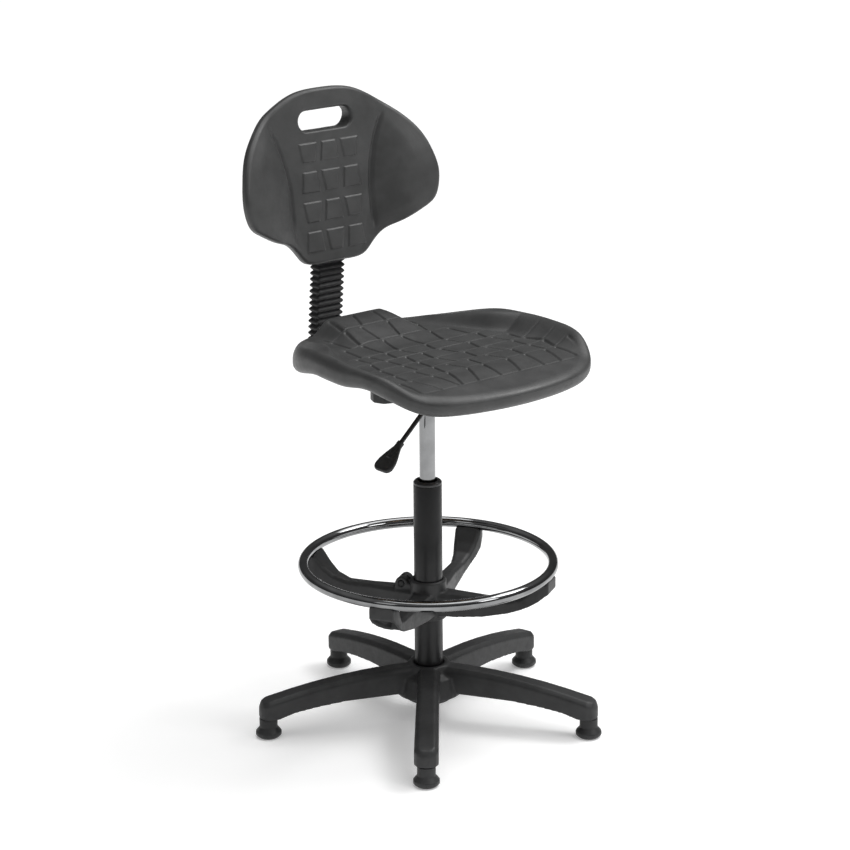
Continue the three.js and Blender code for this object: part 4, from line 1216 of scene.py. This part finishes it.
    def moulding(self) -> bpy.types.Object:
        """Moulds the back, then cuts its hand slot and the pocket for the bar and bracket.

        Returns:
            The back.
        """
        outline = self.outline()
        middle = np.array([0.0, 150.0])
        loops = []
        for side, share, turned in pad_stations(140, 12, 46, self.rolls[0], self.rolls[1]):
            x, z = (middle + (outline - middle) * share).T
            edge = self.face(*outline.T, 1.0) + self.fillet
            here = self.face(x, z, share)
            if side is Side.FACE:
                raised = self.tile_rise * ease(0, self.tile_bevel, deepest(self.tiles(), x, z))
                depth = mix(here - raised + self.lip(x, z, self.slot_lip), edge, turned)
            else:
                slim = np.maximum(ease(60, 150, np.abs(x)), ease(0.6, 0.95, share))
                behind = here + mix(*self.thickness, slim) - self.lip(x, z, self.rear_lip)
                depth = mix(behind, edge + self.wall, turned)
            loops.append(self.stand(x, depth, z))
        stack = np.array(loops)
        piece = make_object("back_moulding", to_frame(stack.reshape(-1, 3)), skin(stack), MOULDED_TURN)
        slot = rounded_loop(self.slot_half, self.slot_radius, self.slot_radius - 0.01, 24)
        slot += [0, self.slot_level]
        cut_away(piece, [self.prism("slot_cutter", slot, -90, 60)], MOULDED_TURN)
        pocket = rounded_loop(*self.pocket_half, self.pocket_corner, 8) + [0, self.pocket_level]
        cut_away(piece, [self.prism("pocket_cutter", pocket, self.pocket_front, 60)], MOULDED_TURN)
        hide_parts("back_pad")
        return piece

    def build(self) -> None:
        """Makes the back with what it carries."""
        dress(self.moulding(), PU_SKIN, "back")
        dress_nodes(PLYWOOD, "back_insert")
        dress(eased("back_bracket", "bracket", PRESSED_EDGE, STEEL_TURN), BLACK_STEEL, "back")
        dress_nodes(ZINC, *(f"back_screw_{k}" for k in range(1, 5)))
        knob = softened("back_knob", "height_wheel", self.knob_mesh, self.knob_rounding)
        dress(knob, NYLON, "back_knob")


# ---------------------------------------------------------------------- studio


@dataclass
class Studio:
    """The pale floor, soft lights and the camera."""

    stand_off: tuple[float, float, float] = (-2777.2, -3309.7, 1855.62)
    heading: float = -39.952
    pitch: float = 16.912
    roll: float = -0.459
    field_of_view: float = 18.443
    floor_glow: float = 0.27
    sky_strength: float = 0.3
    sky_levels: tuple[tuple[float, float], ...] = ((0.02, 0.9), (0.08, 0.22), (0.4, 0.3), (0.7, 0.9))

    def camera(self) -> None:
        """Sets up the camera."""
        lens = bpy.data.cameras.new("camera")
        lens.sensor_width = 36.0
        lens.angle = radians(self.field_of_view)
        lens.dof.use_dof = False
        lens.clip_end = 60.0
        eye = bpy.data.objects.new("camera", lens)
        bpy.context.scene.collection.objects.link(eye)
        aim = (
            Matrix.Rotation(radians(self.heading), 4, "Z")
            @ Matrix.Rotation(pi / 2 - radians(self.pitch), 4, "X")
            @ Matrix.Rotation(radians(self.roll), 4, "Z")
        )
        eye.matrix_world = Matrix.Translation(Vector(to_frame(np.array(self.stand_off)))) @ aim
        bpy.context.scene.camera = eye

    def floor(self) -> None:
        """Lays a pale, faintly uneven floor."""
        reach, across = 14.0, 24
        grid = np.linspace(-reach, reach, across + 1)
        points = np.array([(x, y, 0.0) for y in grid for x in grid])
        wide = across + 1
        faces = [
            (r * wide + c, r * wide + c + 1, (r + 1) * wide + c + 1, (r + 1) * wide + c)
            for r in range(across)
            for c in range(across)
        ]
        sheet = make_object("floor", points, faces)
        bench = Bench("pale_floor")
        patches = bench.spread(bench.noise(400, 2), PATCH_LOW, PATCH_HIGH, 0.0, 1.0)
        bench.feed(bench.shader.inputs["Emission Color"], (1.0, 1.0, 1.0, 1.0))
        bench.feed(bench.shader.inputs["Emission Strength"], self.floor_glow)
        pale = bench.blend(patches, (0.90, 0.90, 0.90, 1), (0.92, 0.92, 0.92, 1))
        bench.feed(bench.shader.inputs["Base Color"], pale)
        rough = bench.spread(bench.noise(30, 3), PATCH_LOW, PATCH_HIGH, 0.75, 0.9)
        bench.feed(bench.shader.inputs["Roughness"], rough)
        bench.feed(bench.shader.inputs["Specular IOR Level"], 0.1)
        sheet.data.materials.append(bench.material)

    def softbox(self, name: str, place: tuple[float, float, float], size: float, power: float) -> None:
        """Hangs a square softbox that faces the chair.

        Args:
            name: its name.
            place: where it hangs, in metres.
            size: its side, in metres.
            power: its power, in watts.
        """
        box = bpy.data.lights.new(name, "AREA")
        box.shape = "SQUARE"
        box.size = size
        box.energy = power
        lamp = bpy.data.objects.new(name, box)
        bpy.context.scene.collection.objects.link(lamp)
        lamp.location = place
        lamp.rotation_euler = (Vector((0, 0, 0.6)) - Vector(place)).to_track_quat("-Z", "Y").to_euler()

    def daylight(self, name: str, tilt: tuple[float, float, float], strength: float, spread: float) -> None:
        """Adds broad, even light from above.

        Args:
            name: its name.
            tilt: how far it leans from straight down, in degrees about X, Y and Z.
            strength: its strength.
            spread: how wide the source looks, in degrees.
        """
        wide = bpy.data.lights.new(name, "SUN")
        wide.energy = strength
        wide.angle = radians(spread)
        lamp = bpy.data.objects.new(name, wide)
        bpy.context.scene.collection.objects.link(lamp)
        lamp.rotation_euler = [radians(t) for t in tilt]

    def sky(self) -> None:
        """Fills the studio with white light that is greyer in a band above the horizon."""
        world = bpy.data.worlds.new("studio")
        bpy.context.scene.world = world
        world.use_nodes = True
        tree = world.node_tree
        up = tree.nodes.new("ShaderNodeSeparateXYZ")
        tree.links.new(tree.nodes.new("ShaderNodeTexCoord").outputs["Generated"], up.inputs["Vector"])
        band = tree.nodes.new("ShaderNodeValToRGB")
        band.color_ramp.elements[0].position = 0.0
        band.color_ramp.elements[0].color = (1, 1, 1, 1)
        band.color_ramp.elements[1].position = 1.0
        band.color_ramp.elements[1].color = (1, 1, 1, 1)
        for position, level in self.sky_levels:
            band.color_ramp.elements.new(position).color = (level, level, level, 1)
        tree.links.new(up.outputs["Z"], band.inputs["Fac"])
        tree.links.new(band.outputs["Color"], tree.nodes["Background"].inputs["Color"])
        tree.nodes["Background"].inputs["Strength"].default_value = self.sky_strength

    def build(self) -> None:
        """Sets up the studio."""
        self.camera()
        self.floor()
        self.sky()
        self.daylight("overhead", (6, 14, 0), 2.1, 64)
        self.softbox("key", (1.9, -0.9, 2.9), 1.1, 30)
        self.softbox("front", (0.9, -3.2, 2.4), 1.0, 16)
        self.softbox("left_fill", (-3.0, -0.6, 2.2), 1.0, 3)
        bpy.context.scene.view_settings.view_transform = "Standard"
        LOG.info("studio ready")


def main() -> None:
    """Builds the chair and its studio."""
    logging.basicConfig(level=logging.INFO, format="%(name)s: %(message)s")
    underneath = (StarBase(), Column(), Footrest(), TiltMechanism(), HeightLever())
    for part in (*underneath, BackUpright(), SeatPad(), BackPad(), Studio()):
        part.build()
        LOG.info("%s built", type(part).__name__)


if __name__ == "__main__":
    main()
